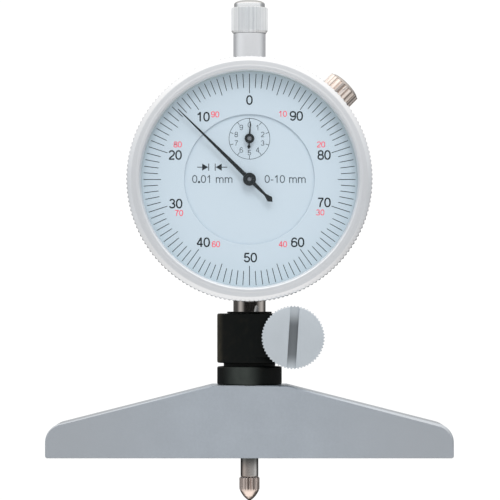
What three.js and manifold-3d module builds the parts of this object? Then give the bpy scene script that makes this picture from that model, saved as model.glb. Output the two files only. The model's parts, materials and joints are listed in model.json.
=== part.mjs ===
// Dial depth gauge: a dial indicator held by a split collar on a steel measuring base.
// Millimetres, +Z up. The origin is the contact tip at rest, on the spindle's axis.
// The dial faces -Y, and +X is to the reader's right.

import * as THREE from "three";
import { mergeVertices } from "three/addons/utils/BufferGeometryUtils.js";
import Module from "manifold-3d";

const wasm = await Module();
wasm.setup();

// Clearances
const runningGap = 0.12;
const seatGap = 0.05;
const looseGap = 0.3;
const cutOverrun = 1;
const mergeDistance = 0.0005;

// Sides of round pieces
const fineSides = 48;
const mediumSides = 24;
const smallSides = 12;
const tinySides = 8;
const hexSides = 6;
const cornerSteps = 3;
const shoulderSteps = 6;

// Measuring base
const tipDrop = 11;
const baseLength = 100;
const baseWidth = 16;
const baseHeight = 17.8;
const baseTopLength = 18.6;
const baseEndHeight = 7.5;
const baseShoulderRadius = 5;
const baseFootRadius = 0.6;
const baseChamfer = 0.3;
const spindleHoleRadius = 3.25;
const socketRadius = 6;
const socketDepth = 8.5;

// Split collar, as wide as the base
const collarRadius = baseWidth / 2;
const flangeHeight = 4.5;
const grooveHeight = 0.9;
const neckRadius = 6.4;
const clampHeight = 12.2;
const collarChamfer = 0.4;
const collarBoreRadius = 5;
const collarThroatRadius = 4.3;
const clampSlit = 1;
const earReach = 14.8;
const earHeight = 10.75;
const earCornerRadius = 2.5;
const setScrewRadius = 1.5;
const setScrewDrop = 4;
const setScrewSocketRadius = 0.7;
const setScrewSocketDepth = 0.8;

// Clamp thumb screw
const clampScrewOffset = 10.6;
const clampScrewDrop = 5.8;
const clampHeadRadius = 7.75;
const clampHeadThickness = 4.2;
const clampHeadTeeth = 58;
const clampToothDepth = 0.3;
const clampSlotWidth = 2.2;
const clampSlotDepth = 1.3;
const clampSlotLeanDegrees = 3.6;
const clampShankRadius = 2;
const clampShankEndGap = 1;

// Split bush that the stem slides in
const bushFlangeRadius = 5.55;
const bushFlangeHeight = 0.4;

// Stem and spindle guides
const stemRadius = 4;
const stemGap = 2.4;
const stemBoreRadius = 3;
const stemReach = 21.6;
const stemChamfer = 0.4;
const guideLength = 6;
const sleeveRise = 6.4;
const sleeveNeckRadius = 3.2;
const sleeveNeckLength = 5.5;
const capRadius = 4.5;
const capHeight = 8.3;
const capFootHeight = 0.7;
const capDomeHeight = 1.9;
const capDomeRadius = 3.83;
const capDomeWall = 0.75;
const capDomeSteps = 5;
const capRoof = 1.6;

// Spindle and contact point
const spindleRadius = 2.2;
const spindleTravel = 11;
const contactRadius = 2.5;
const contactBandHeight = 3.2;
const contactNoseHeight = 2.8;
const contactStubRadius = 1.15;
const contactStubLength = 4;
const contactShoulderHeight = 0.3;
const noseHeightShares = [0, 0.03, 0.1, 0.27, 0.45, 0.98];
const noseRadiusShares = [0, 0.1, 0.24, 0.45, 0.66, 0.94];
const guidePinRadius = 0.75;
const guidePinReach = 7.4;
const guidePinRise = 3.9;

// Case
const caseWall = 2;
const caseBackY = 10.5;
const lugDepth = 4.5;
const lugWidth = 13;
const sideLugWidth = 10;
const coverThickness = 1.9;
const coverChamfer = 0.4;
const coverScrewInset = 2.2;
const screwRadius = 0.9;
const screwLength = 5;
const screwHeadRadius = 1.7;
const screwHeadHeight = 0.9;
const screwSlotWidth = 0.4;
const screwSlotDepth = 0.4;
const plateScrewRadius = 0.8;

// Bezel, its crystal and the dial
const bezelRadius = 30;
const bezelFrontY = -12.5;
const bezelRimFrontY = -11.1;
const bezelRimBackY = -6.1;
const rimWidth = 1.5;
const coveWidth = 1;
const lipWidth = 1.2;
const skirtStep = 1.6;
const skirtWall = 1.2;
const bezelCaseGap = 0.2;
const lipBevel = 0.4;
const coveDepth = 0.75;
const rimChamfer = 0.35;
const lipThickness = 0.8;
const crystalThickness = 1.05;
const spacerDepth = 2.55;
const spacerWall = 0.75;
const dialRingThickness = 0.45;
const dialRingWidth = 11.3;
const dialPlateThickness = 0.3;
const dialPlateOverlap = 1;
const dialPlateGap = 0.15;
const wireRadius = 0.35;
const wireGapDegrees = 14;
const wireSteps = 36;
const wireSides = 5;
const wireY = -5.4;

// Bezel lock
const lockAngleDegrees = 45;
const lockY = 1.5;
const lockHeadRadius = 4.5;
const lockToothDepth = 0.45;
const lockTeeth = 22;
const lockHeadRise = 3.45;
const lockDomeHeight = 0.9;
const lockDomeSteps = 3;
const lockShankRadius = 2;
const lockShankInset = 1.1;
const lockLugDepth = 3.5;
const lockLugWidth = 8;
const shoeWidth = 7;
const shoeToeHeight = 1;
const shoeOverlap = 1.6;

// Movement plates
const frontPlateThickness = 1;
const rearPlateThickness = 0.8;
const rearPlateGap = 0.5;
const rearPlateSideRoom = 10.5;
const rearPlateEndRoom = 7.2;
const rearPlateCorner = 6;
const bridgeGap = 0.6;
const bridgeThickness = 0.8;
const bridgeWidth = 13.4;
const bridgeEndInset = 0.6;
const bridgeCorner = 2;
const bridgePillarSideInset = 1.6;
const bridgePillarEndInset = 1.8;
const bridgePillarRadius = 1;
const pillarRadius = 1.4;
const pillarHoleRadius = 0.7;
const pillarSideInset = 3;
const pillarRise = 3;
const lowPillarSideInset = 4;
const lowPillarEndInset = 4.8;

// Gears: the rack drives a pinion and a large gear, which drives the centre pinion
const rackPitch = 0.625;
const rackTeethMargin = 3;
const rackFlatDepth = 0.15;
const rackPinionTeeth = 16;
const rackPinionFace = 2.4;
const largeGearTeeth = 100;
const smallPinionTeeth = 10;
const gearRoom = 0.5;
const gearThickness = 0.6;
const pinionFace = 1.7;
const arborRadius = 0.6;
const fineArborRadius = 0.5;
const toothAddendumShare = 0.7;
const toothDedendumShare = 0.95;
const toothRootShare = 0.46;
const toothTipShare = 0.14;
const gearHubRadius = 1.5;
const gearHubHeight = 0.5;
const hairspringInner = 1.4;
const hairspringOuter = 5.6;
const hairspringTurns = 3;
const hairspringSteps = 16;
const hairspringThickness = 0.12;
const hairspringHeight = 0.5;
const studRadius = 0.45;

// Pointers
const pointerDegrees = 135.5;
const pointerRimGap = 1.9;
const pointerTailReach = 7.5;
const pointerRootWidth = 1.1;
const pointerNeckWidth = 0.65;
const pointerTipWidth = 0.25;
const pointerHubRadius = 1.6;
const pointerThickness = 0.25;
const pointerHubHeight = 0.9;
const pointerFrontGap = 1.05;
const spadeWidth = 1.27;
const spadeLength = 2.1;
const spadeTipLength = 0.65;
const smallHandDegrees = 86.8;
const smallHandReach = 4.2;
const smallHandTail = 2.5;
const smallHandWidth = 0.8;
const smallHandHubRadius = 1.2;
const smallHandGap = 0.4;
const smallHandPinReach = 0.15;

// Return spring
const springRadius = 1.3;
const springWireRadius = 0.2;
const springTurns = 9;
const springStepsPerTurn = 8;
const springWireSides = 4;
const springEyeSteps = 8;
const springEndRun = 1.6;
const springPostInset = 4;
const springPostRadius = 0.5;

// Levels that follow from the sizes above
const baseFaceZ = tipDrop;
const baseTopZ = baseFaceZ + baseHeight;
const flangeTopZ = baseTopZ + flangeHeight;
const clampBottomZ = flangeTopZ + grooveHeight;
const clampTopZ = clampBottomZ + clampHeight;
const clampScrewZ = clampTopZ - clampScrewDrop;
const bushTopZ = clampTopZ + seatGap + bushFlangeHeight;
const dialZ = bushTopZ - seatGap + stemGap + bezelRadius;
const socketFloorZ = baseTopZ - socketDepth;
const contactTopZ = contactNoseHeight + contactBandHeight;

// Radii that follow from the bezel's
const coveOuterRadius = bezelRadius - rimWidth;
const lipOuterRadius = coveOuterRadius - coveWidth;
const lipInnerRadius = lipOuterRadius - lipWidth;
const bezelSkirtRadius = bezelRadius - skirtStep;
const bezelBoreRadius = bezelSkirtRadius - skirtWall;
const caseRadius = bezelBoreRadius - bezelCaseGap;
const caseBoreRadius = caseRadius - caseWall;
const lugInner = caseBoreRadius - lugDepth;
const coverScrewRing = lugInner + coverScrewInset;
const gearCentreDistance = (lugInner - gearRoom) / 2;
const dialRingHole = bezelBoreRadius - dialRingWidth;
const dialPlateRadius = dialRingHole + dialPlateOverlap;
const lockLugInner = caseBoreRadius - lockLugDepth;
const lockShankInner = lockLugInner + lockShankInset;
const lockHeadOuter = bezelRadius + lockHeadRise;
const lockHeadApex = lockHeadOuter + lockDomeHeight;
const shoeTop = bezelSkirtRadius + shoeToeHeight;
const sleeveReach = bezelRadius + sleeveRise;
const pointerReach = lipInnerRadius - pointerRimGap;

// Spans of the movement, which follow from the case's bore
const rearPlateWidth = 2 * (caseBoreRadius - rearPlateSideRoom);
const rearPlateHeight = 2 * (caseBoreRadius - rearPlateEndRoom);
const pillarSpanX = rearPlateWidth - 2 * pillarSideInset;
const lowPillarX = rearPlateWidth / 2 - lowPillarSideInset;
const lowPillarZ = lowPillarEndInset - rearPlateHeight / 2;
const bridgeHeight = rearPlateHeight - 2 * bridgeEndInset;
const bridgePillarSpanX = bridgeWidth - 2 * bridgePillarSideInset;
const bridgePillarSpanZ = bridgeHeight - 2 * bridgePillarEndInset;
const springPostDrop = guidePinRise + bridgeHeight / 2 - springPostInset;

// Depths that follow from the sizes above
const bezelBackY = -(stemRadius + looseGap);
const crystalFrontY = bezelFrontY + lipThickness + seatGap;
const crystalBackY = crystalFrontY + crystalThickness;
const spacerFrontY = crystalBackY + seatGap;
const spacerBackY = spacerFrontY + spacerDepth;
const dialRingFrontY = spacerBackY + seatGap;
const dialRingBackY = dialRingFrontY + dialRingThickness;
const dialPlateFrontY = dialRingBackY + dialPlateGap;
const dialPlateBackY = dialPlateFrontY + dialPlateThickness;
const frontPlateFrontY = dialPlateBackY + seatGap;
const frontPlateBackY = frontPlateFrontY + frontPlateThickness;
const caseFrontY = dialRingBackY + looseGap;
const rearPlateBackY = -(spindleRadius + rearPlateGap);
const rearPlateFrontY = rearPlateBackY - rearPlateThickness;
const bridgeFrontY = spindleRadius + bridgeGap;
const bridgeBackY = bridgeFrontY + bridgeThickness;
const gearFrontY = frontPlateBackY + looseGap;
const gearBackY = gearFrontY + gearThickness;
const pointerFrontY = crystalBackY + pointerFrontGap;
const pointerBackY = pointerFrontY + pointerThickness;
const smallHandFrontY = pointerBackY + smallHandGap;
const smallHandBackY = smallHandFrontY + pointerThickness;
const springY = bridgeBackY + springRadius + springWireRadius + looseGap;

// Gear centres in the dial's plane, as x and rise over the dial's centre
const rackPinionRadius = rackPitch * rackPinionTeeth / (2 * Math.PI);
const rackTipX = spindleRadius - rackFlatDepth;
const rackModule = rackPitch / Math.PI;
const rackPitchX = rackTipX - rackModule * toothAddendumShare;
const trainModule = 2 * gearCentreDistance / (largeGearTeeth + smallPinionTeeth);
const rackArborX = -(rackPitchX + rackPinionRadius);
const rackArborRise = -Math.sqrt(gearCentreDistance ** 2 - rackArborX ** 2);
const counterRise = gearCentreDistance;

const radians = (degrees) => degrees * Math.PI / 180;
const share = (from, to, part) => from + (to - from) * part;

// Closed solids

// A geometry with only shared positions left, its faces turned outwards.
function closed(source) {
  const bare = source.clone();
  bare.deleteAttribute("normal");
  bare.deleteAttribute("uv");
  const merged = mergeVertices(bare, mergeDistance);
  const place = merged.getAttribute("position");
  const kept = [];
  let volume = 0;
  const corners = [new THREE.Vector3(), new THREE.Vector3(), new THREE.Vector3()];
  for (let first = 0; first < merged.index.count; first += 3) {
    const ids = [0, 1, 2].map((step) => merged.index.getX(first + step));
    if (new Set(ids).size < 3) continue;
    kept.push(...ids);
    ids.forEach((id, corner) => corners[corner].fromBufferAttribute(place, id));
    volume += corners[0].dot(corners[1].cross(corners[2]));
  }
  if (volume < 0) kept.reverse();
  const solid = new THREE.BufferGeometry();
  solid.setAttribute("position", new THREE.BufferAttribute(place.array.slice(), 3));
  solid.setIndex(kept);
  return solid;
}

function manifoldOf(geometry) {
  const solid = closed(geometry);
  return new wasm.Manifold(new wasm.Mesh({
    numProp: 3,
    vertProperties: new Float32Array(solid.getAttribute("position").array),
    triVerts: new Uint32Array(solid.index.array),
  }));
}

function geometryOf(manifold) {
  const mesh = manifold.getMesh();
  const geometry = new THREE.BufferGeometry();
  geometry.setAttribute("position", new THREE.BufferAttribute(new Float32Array(mesh.vertProperties), 3));
  geometry.setIndex([...mesh.triVerts]);
  return geometry;
}

// The first shape with the others joined to it.
function join(...geometries) {
  return geometryOf(geometries.map(manifoldOf).reduce((whole, piece) => whole.add(piece)));
}

// The first shape with the others cut from it.
function cut(body, ...cutters) {
  const rest = cutters.map(manifoldOf).reduce((whole, piece) => whole.subtract(piece), manifoldOf(body));
  return geometryOf(rest);
}

// A profile of [radius, y] points turned about the Y axis, moved to x, z.
function turnedY(profile, sides, x = 0, z = 0) {
  const points = profile.map(([radius, y]) => new THREE.Vector2(radius, y));
  return new THREE.LatheGeometry(points, sides).translate(x, 0, z);
}

// A profile of [radius, z] points turned about the Z axis.
function turnedZ(profile, sides) {
  const points = profile.map(([radius, z]) => new THREE.Vector2(radius, z));
  return new THREE.LatheGeometry(points, sides).rotateX(Math.PI / 2);
}

function rodY(radius, frontY, backY, sides, x = 0, z = 0) {
  return turnedY([[0, frontY], [radius, frontY], [radius, backY], [0, backY]], sides, x, z);
}

function rodZ(radius, lowZ, highZ, sides) {
  return turnedZ([[0, lowZ], [radius, lowZ], [radius, highZ], [0, highZ]], sides);
}

function tubeZ(inner, outer, lowZ, highZ, sides) {
  return turnedZ([[inner, lowZ], [outer, lowZ], [outer, highZ], [inner, highZ], [inner, lowZ]], sides);
}

function block(lowX, highX, lowY, highY, lowZ, highZ) {
  return new THREE.BoxGeometry(highX - lowX, highY - lowY, highZ - lowZ)
    .translate((lowX + highX) / 2, (lowY + highY) / 2, (lowZ + highZ) / 2);
}

// An outline in the XZ plane, carried from frontY to backY.
function slab(shape, frontY, backY) {
  const options = { depth: backY - frontY, bevelEnabled: false, curveSegments: cornerSteps };
  return new THREE.ExtrudeGeometry(shape, options).rotateX(Math.PI / 2).translate(0, backY, 0);
}

function roundedRectangle(width, height, radius) {
  const x = width / 2;
  const y = height / 2;
  const shape = new THREE.Shape();
  shape.moveTo(x, y - radius);
  shape.absarc(x - radius, y - radius, radius, 0, Math.PI / 2);
  shape.absarc(radius - x, y - radius, radius, Math.PI / 2, Math.PI);
  shape.absarc(radius - x, radius - y, radius, Math.PI, 3 * Math.PI / 2);
  shape.absarc(x - radius, radius - y, radius, 3 * Math.PI / 2, 2 * Math.PI);
  return shape;
}

// A wheel outline of V teeth, as fine knurling has.
function knurledOutline(teeth, radius, depth) {
  const points = [];
  for (let step = 0; step < 2 * teeth; step += 1) {
    const angle = Math.PI * step / teeth;
    const reach = step % 2 ? radius - depth : radius;
    points.push(new THREE.Vector2(reach * Math.cos(angle), reach * Math.sin(angle)));
  }
  return new THREE.Shape(points);
}

// A gear outline of straight-sided teeth; firstAngle is the middle of one tooth.
// Teeth with a root share of 1 meet in V gaps.
function gearOutline(teeth, module, firstAngle, rootShare) {
  const pitchRadius = module * teeth / 2;
  const tip = pitchRadius + module * toothAddendumShare;
  const root = pitchRadius - module * toothDedendumShare;
  const pitch = 2 * Math.PI / teeth;
  const points = [];
  for (let tooth = 0; tooth < teeth; tooth += 1) {
    const middle = firstAngle + tooth * pitch;
    const corners = [[root, -rootShare], [tip, -toothTipShare], [tip, toothTipShare], [root, rootShare]];
    for (const [reach, side] of corners) {
      const angle = middle + side * pitch / 2;
      points.push(new THREE.Vector2(reach * Math.cos(angle), reach * Math.sin(angle)));
    }
    if (rootShare === 1) points.pop();
  }
  return new THREE.Shape(points);
}

// A round wire of few sides swept along points, with its ends closed.
function wireAlong(points, radius, sides) {
  const positions = [];
  const index = [];
  const last = points.length - 1;
  const reference = new THREE.Vector3();
  points.forEach((point, step) => {
    const before = points[Math.max(step - 1, 0)];
    const after = points[Math.min(step + 1, last)];
    const along = after.clone().sub(before).normalize();
    if (step === 0) reference.set(along.y, along.z, along.x).cross(along).normalize();
    reference.addScaledVector(along, -reference.dot(along)).normalize();
    const across = along.clone().cross(reference);
    for (let side = 0; side < sides; side += 1) {
      const angle = 2 * Math.PI * side / sides;
      const rim = point.clone().addScaledVector(reference, radius * Math.cos(angle))
        .addScaledVector(across, radius * Math.sin(angle));
      positions.push(rim.x, rim.y, rim.z);
    }
  });
  for (let step = 0; step < last; step += 1) {
    for (let side = 0; side < sides; side += 1) {
      const next = (side + 1) % sides;
      const a = step * sides + side;
      const b = step * sides + next;
      index.push(a, b, b + sides, a, b + sides, a + sides);
    }
  }
  for (let side = 1; side < sides - 1; side += 1) {
    index.push(0, side + 1, side);
    index.push(last * sides, last * sides + side, last * sides + side + 1);
  }
  const geometry = new THREE.BufferGeometry();
  geometry.setAttribute("position", new THREE.Float32BufferAttribute(positions, 3));
  geometry.setIndex(index);
  return geometry;
}

// Finishes

function finish(color, roughness, metalness) {
  return new THREE.MeshStandardMaterial({ color, roughness, metalness, flatShading: true });
}
const groundSteel = finish(0xa0a7ad, 0.35, 0.9);
const blackOxide = finish(0x17191a, 0.55, 0.6);
const satinNickel = finish(0xb4bcc5, 0.4, 0.85);
const brightNickel = finish(0xe1d2c8, 0.25, 0.95);
const satinAluminium = finish(0xc2c5c7, 0.4, 0.85);
const polishedSteel = finish(0xd4d4d6, 0.2, 0.95);
const spindleSteel = finish(0x968c87, 0.3, 0.95);
const brass = finish(0xb5964f, 0.35, 0.9);
const springSteel = finish(0x5a5f66, 0.35, 0.9);
const dialPaint = finish(0xc9d8e3, 0.6, 0);
const handBlack = finish(0x1c1c20, 0.4, 0.3);
const clearGlass = finish(0xe8f0f4, 0.05, 0);

const gauge = new THREE.Group();

function add(name, geometry, material) {
  const mesh = new THREE.Mesh(closed(geometry), material);
  mesh.name = name;
  gauge.add(mesh);
}

// Measuring base

function baseOutline() {
  const half = baseLength / 2;
  const topHalf = baseTopLength / 2;
  const slope = Math.atan2(baseHeight - baseEndHeight, half - topHalf);
  const shoulderTangent = baseShoulderRadius * Math.tan((Math.PI / 2 - slope) / 2);
  const shoulderZ = baseEndHeight - shoulderTangent;
  const foot = baseFootRadius;
  const shape = new THREE.Shape();
  shape.moveTo(foot - half, 0);
  shape.lineTo(half - foot, 0);
  shape.absarc(half - foot, foot, foot, -Math.PI / 2, 0);
  shape.absarc(half - baseShoulderRadius, shoulderZ, baseShoulderRadius, 0, Math.PI / 2 - slope);
  shape.lineTo(topHalf, baseHeight);
  shape.lineTo(-topHalf, baseHeight);
  shape.absarc(baseShoulderRadius - half, shoulderZ, baseShoulderRadius, Math.PI / 2 + slope, Math.PI);
  shape.absarc(foot - half, foot, foot, Math.PI, 3 * Math.PI / 2);
  return shape;
}

function measuringBase() {
  const body = new THREE.ExtrudeGeometry(baseOutline(), {
    depth: baseWidth - 2 * baseChamfer,
    bevelEnabled: true,
    bevelThickness: baseChamfer,
    bevelSize: baseChamfer,
    bevelOffset: -baseChamfer,
    bevelSegments: 1,
    curveSegments: shoulderSteps,
  }).rotateX(Math.PI / 2).translate(0, baseWidth / 2 - baseChamfer, baseFaceZ);
  const hole = rodZ(spindleHoleRadius, baseFaceZ - cutOverrun, baseTopZ, mediumSides);
  const socket = rodZ(socketRadius, socketFloorZ, baseTopZ + cutOverrun, mediumSides);
  const setHole = rodY(setScrewRadius, 0, baseWidth / 2 + cutOverrun, smallSides, 0, baseTopZ - setScrewDrop);
  return cut(body, hole, socket, setHole);
}

function collarSetScrew() {
  const front = socketRadius + seatGap;
  const back = baseWidth / 2 - seatGap;
  const z = baseTopZ - setScrewDrop;
  const body = rodY(setScrewRadius - seatGap, front, back, smallSides, 0, z);
  const socket = rodY(setScrewSocketRadius, back - setScrewSocketDepth, back + cutOverrun, hexSides, 0, z);
  return cut(body, socket);
}

// Collar, its clamp screw and the bush

function splitCollar() {
  const spigot = socketRadius - seatGap;
  const spigotZ = socketFloorZ + seatGap;
  const flangeZ = baseTopZ + seatGap;
  const edge = collarRadius - collarChamfer;
  const boreZ = baseTopZ + seatGap;
  const turned = turnedZ([
    [collarThroatRadius, spigotZ], [spigot, spigotZ], [spigot, flangeZ], [edge, flangeZ],
    [collarRadius, flangeZ + collarChamfer], [collarRadius, flangeTopZ - collarChamfer], [edge, flangeTopZ],
    [neckRadius, flangeTopZ], [neckRadius, clampBottomZ], [edge, clampBottomZ],
    [collarRadius, clampBottomZ + collarChamfer], [collarRadius, clampTopZ - collarChamfer],
    [edge, clampTopZ], [collarBoreRadius, clampTopZ],
    [collarBoreRadius, boreZ], [collarThroatRadius, boreZ],
    [collarThroatRadius, spigotZ],
  ], mediumSides);
  const earOutline = roundedRectangle(earReach, earHeight, earCornerRadius);
  const ear = slab(earOutline, -collarRadius, collarRadius)
    .translate(earReach / 2, 0, clampTopZ - earHeight / 2);
  const bore = rodZ(collarBoreRadius, flangeTopZ, clampTopZ + cutOverrun, mediumSides);
  const slit = block(
    0, earReach + cutOverrun, -clampSlit / 2, clampSlit / 2, flangeTopZ, clampTopZ + cutOverrun);
  const passHole = rodY(
    clampShankRadius + looseGap, -collarRadius - cutOverrun, 0, smallSides, clampScrewOffset, clampScrewZ);
  const threadHole = rodY(
    clampShankRadius + runningGap, 0, collarRadius + cutOverrun, smallSides, clampScrewOffset, clampScrewZ);
  const joined = join(turned, ear);
  return cut(joined, bore, slit, passHole, threadHole);
}

function clampScrew() {
  const headBackY = -collarRadius - seatGap;
  const headFrontY = headBackY - clampHeadThickness;
  const head = slab(knurledOutline(clampHeadTeeth, clampHeadRadius, clampToothDepth), headFrontY, headBackY);
  const shank = rodY(clampShankRadius, headBackY - cutOverrun, collarRadius - clampShankEndGap, smallSides);
  const slot = block(
    -clampSlotWidth / 2, clampSlotWidth / 2, headFrontY - cutOverrun, headFrontY + clampSlotDepth,
    -clampHeadRadius - cutOverrun, clampHeadRadius + cutOverrun).rotateY(radians(clampSlotLeanDegrees));
  return cut(join(head, shank), slot).translate(clampScrewOffset, 0, clampScrewZ);
}

function clampBush() {
  const outer = collarBoreRadius - runningGap;
  const inner = stemRadius + runningGap;
  const lowZ = baseTopZ + seatGap + looseGap;
  const flangeZ = clampTopZ + seatGap;
  const turned = turnedZ([
    [inner, lowZ], [outer, lowZ], [outer, flangeZ], [bushFlangeRadius, flangeZ],
    [bushFlangeRadius, bushTopZ], [inner, bushTopZ], [inner, lowZ],
  ], mediumSides);
  const slit = block(
    0, bushFlangeRadius + cutOverrun, -clampSlit / 2, clampSlit / 2,
    lowZ - cutOverrun, bushTopZ + cutOverrun);
  return cut(turned, slit);
}

// Stem, sleeve and the spindle's guides

function stem() {
  const lowZ = dialZ - caseRadius - stemReach;
  const highZ = dialZ - lugInner - seatGap;
  return turnedZ([
    [stemBoreRadius, lowZ], [stemRadius - stemChamfer, lowZ], [stemRadius, lowZ + stemChamfer],
    [stemRadius, highZ], [stemBoreRadius, highZ], [stemBoreRadius, lowZ],
  ], mediumSides);
}

function lowerGuide() {
  const lowZ = dialZ - caseRadius - stemReach + stemChamfer;
  return tubeZ(spindleRadius + runningGap, stemBoreRadius - seatGap, lowZ, lowZ + guideLength, mediumSides);
}

const sleeveShoulderZ = dialZ + sleeveReach;
const sleeveFootZ = dialZ + lugInner + seatGap;
const spindleTopZ = sleeveShoulderZ - guideLength;

function upperSleeve() {
  const neckTopZ = sleeveShoulderZ + sleeveNeckLength;
  const seatZ = sleeveFootZ + guideLength + seatGap;
  const bore = spindleRadius + looseGap;
  return turnedZ([
    [stemBoreRadius, sleeveFootZ], [stemRadius, sleeveFootZ], [stemRadius, sleeveShoulderZ],
    [sleeveNeckRadius, sleeveShoulderZ], [sleeveNeckRadius, neckTopZ], [bore, neckTopZ],
    [bore, seatZ], [stemBoreRadius, seatZ], [stemBoreRadius, sleeveFootZ],
  ], mediumSides);
}

function upperGuide() {
  const outer = stemBoreRadius - seatGap;
  return tubeZ(spindleRadius + runningGap, outer, sleeveFootZ, sleeveFootZ + guideLength, mediumSides);
}

function topCap() {
  const footZ = sleeveShoulderZ + seatGap;
  const topZ = footZ + capHeight;
  const bandLowZ = footZ + capFootHeight;
  const bandHighZ = topZ - capDomeHeight;
  const bore = sleeveNeckRadius + seatGap;
  const domeLowZ = bandHighZ + capDomeWall;
  const dome = [[capDomeRadius, bandHighZ]];
  for (let step = 0; step <= capDomeSteps; step += 1) {
    const angle = Math.PI / 2 * step / capDomeSteps;
    dome.push([capDomeRadius * Math.cos(angle), domeLowZ + (topZ - domeLowZ) * Math.sin(angle)]);
  }
  return turnedZ([
    [bore, footZ], [stemRadius, footZ], [capRadius, bandLowZ], [capRadius, bandHighZ], ...dome,
    [0, topZ - capRoof], [bore, topZ - capRoof], [bore, footZ],
  ], mediumSides);
}

// Spindle group

function spindle() {
  const lowZ = contactTopZ + seatGap;
  const rackZ = dialZ + rackArborRise;
  const body = rodZ(spindleRadius, lowZ, spindleTopZ, mediumSides);
  const stubHole = rodZ(
    contactStubRadius + seatGap, lowZ - cutOverrun, contactTopZ + contactStubLength + looseGap, smallSides);
  const teethBelow = Math.ceil(spindleTravel / rackPitch) + rackTeethMargin;
  const rackLowZ = rackZ - (teethBelow + 0.5) * rackPitch;
  const rackHighZ = rackZ + (rackTeethMargin + 0.5) * rackPitch;
  const outside = spindleRadius + cutOverrun;
  const cutters = [block(-outside, -rackTipX, -spindleRadius, spindleRadius, rackLowZ, rackHighZ)];
  const depth = rackModule * (toothAddendumShare + toothDedendumShare);
  const tipHalf = rackPitch * toothTipShare / 2;
  const rootHalf = rackPitch * toothRootShare / 2;
  for (let gap = -teethBelow; gap < rackTeethMargin; gap += 1) {
    const middle = rackZ + (gap + 0.5) * rackPitch;
    const mouth = (rackPitch - 2 * tipHalf) / 2;
    const floor = (rackPitch - 2 * rootHalf) / 2;
    const outline = new THREE.Shape([
      new THREE.Vector2(depth - rackTipX, middle - floor),
      new THREE.Vector2(depth - rackTipX, middle + floor),
      new THREE.Vector2(-rackTipX, middle + mouth),
      new THREE.Vector2(-outside, middle + mouth),
      new THREE.Vector2(-outside, middle - mouth),
      new THREE.Vector2(-rackTipX, middle - mouth),
    ]);
    cutters.push(slab(outline, -outside, outside));
  }
  const pinHole = rodY(guidePinRadius + seatGap, 0, outside, smallSides, 0, dialZ + guidePinRise);
  return cut(body, stubHole, pinHole, ...cutters);
}

function contactPoint() {
  const nose = noseHeightShares.map((height, step) => [
    contactRadius * noseRadiusShares[step], contactNoseHeight * height]);
  return turnedZ([
    ...nose, [contactRadius, contactNoseHeight + contactShoulderHeight],
    [contactRadius, contactTopZ - contactShoulderHeight],
    [contactRadius - contactShoulderHeight, contactTopZ],
    [contactStubRadius, contactTopZ], [contactStubRadius, contactTopZ + contactStubLength],
    [0, contactTopZ + contactStubLength],
  ], mediumSides);
}

function guidePin() {
  return rodY(guidePinRadius, seatGap, guidePinReach, tinySides, 0, dialZ + guidePinRise);
}

// Case, cover and their screws

const sideAngles = [0, Math.PI / 2, Math.PI, 3 * Math.PI / 2];

function caseBody() {
  const grooveLow = wireY - wireRadius - runningGap;
  const grooveHigh = wireY + wireRadius + runningGap;
  const grooveRadius = caseRadius - 2 * wireRadius;
  const ring = turnedY([
    [caseBoreRadius, caseFrontY], [caseRadius, caseFrontY], [caseRadius, grooveLow],
    [grooveRadius, grooveLow], [grooveRadius, grooveHigh], [caseRadius, grooveHigh],
    [caseRadius, caseBackY], [caseBoreRadius, caseBackY], [caseBoreRadius, caseFrontY],
  ], fineSides);
  const lugFrontY = frontPlateBackY + seatGap;
  const lugRoot = caseBoreRadius + looseGap;
  const lugs = sideAngles.map((angle) => {
    const width = Math.abs(Math.sin(angle)) > 0.5 ? lugWidth : sideLugWidth;
    return block(lugInner, lugRoot, lugFrontY, caseBackY, -width / 2, width / 2).rotateY(-angle);
  });
  const lockLug = block(
    lockLugInner, lugRoot, 0, lockLugWidth, -lockLugWidth / 2, lockLugWidth / 2)
    .rotateY(-radians(lockAngleDegrees));
  const body = join(ring, ...lugs, lockLug.translate(0, lockY - lockLugWidth / 2, 0)).translate(0, 0, dialZ);
  const tubeReach = caseRadius + cutOverrun;
  const tubeHole = rodZ(stemRadius + seatGap, dialZ - tubeReach, dialZ + tubeReach, mediumSides);
  const lockHole = turnedToLock(rodZ(lockShankRadius + looseGap / 2, 0, tubeReach, smallSides));
  const coverHoles = sideAngles.map((angle) => rodY(
    screwRadius + seatGap, caseBackY - screwLength, caseBackY + cutOverrun, smallSides,
    coverScrewRing * Math.cos(angle), dialZ + coverScrewRing * Math.sin(angle)));
  const plateHoles = [-1, 1].map((side) => rodY(
    plateScrewRadius + seatGap, lugFrontY - cutOverrun, lugFrontY + screwLength, tinySides,
    side * coverScrewRing, dialZ));
  return cut(body, tubeHole, lockHole, ...coverHoles, ...plateHoles);
}

const coverFrontY = caseBackY + seatGap;
const coverBackY = coverFrontY + coverThickness;

function backCover() {
  const edge = caseRadius - coverChamfer;
  const disc = turnedY([
    [0, coverFrontY], [caseRadius, coverFrontY], [caseRadius, coverBackY - coverChamfer],
    [edge, coverBackY], [0, coverBackY],
  ], fineSides, 0, dialZ);
  const mouth = screwHeadRadius + seatGap;
  const holes = sideAngles.map((angle) => turnedY([
    [0, coverFrontY - cutOverrun], [screwRadius + runningGap, coverFrontY - cutOverrun],
    [screwRadius + runningGap, coverBackY - screwHeadHeight], [mouth, coverBackY],
    [mouth, coverBackY + cutOverrun], [0, coverBackY + cutOverrun],
  ], smallSides, coverScrewRing * Math.cos(angle), dialZ + coverScrewRing * Math.sin(angle)));
  return cut(disc, ...holes);
}

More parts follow.
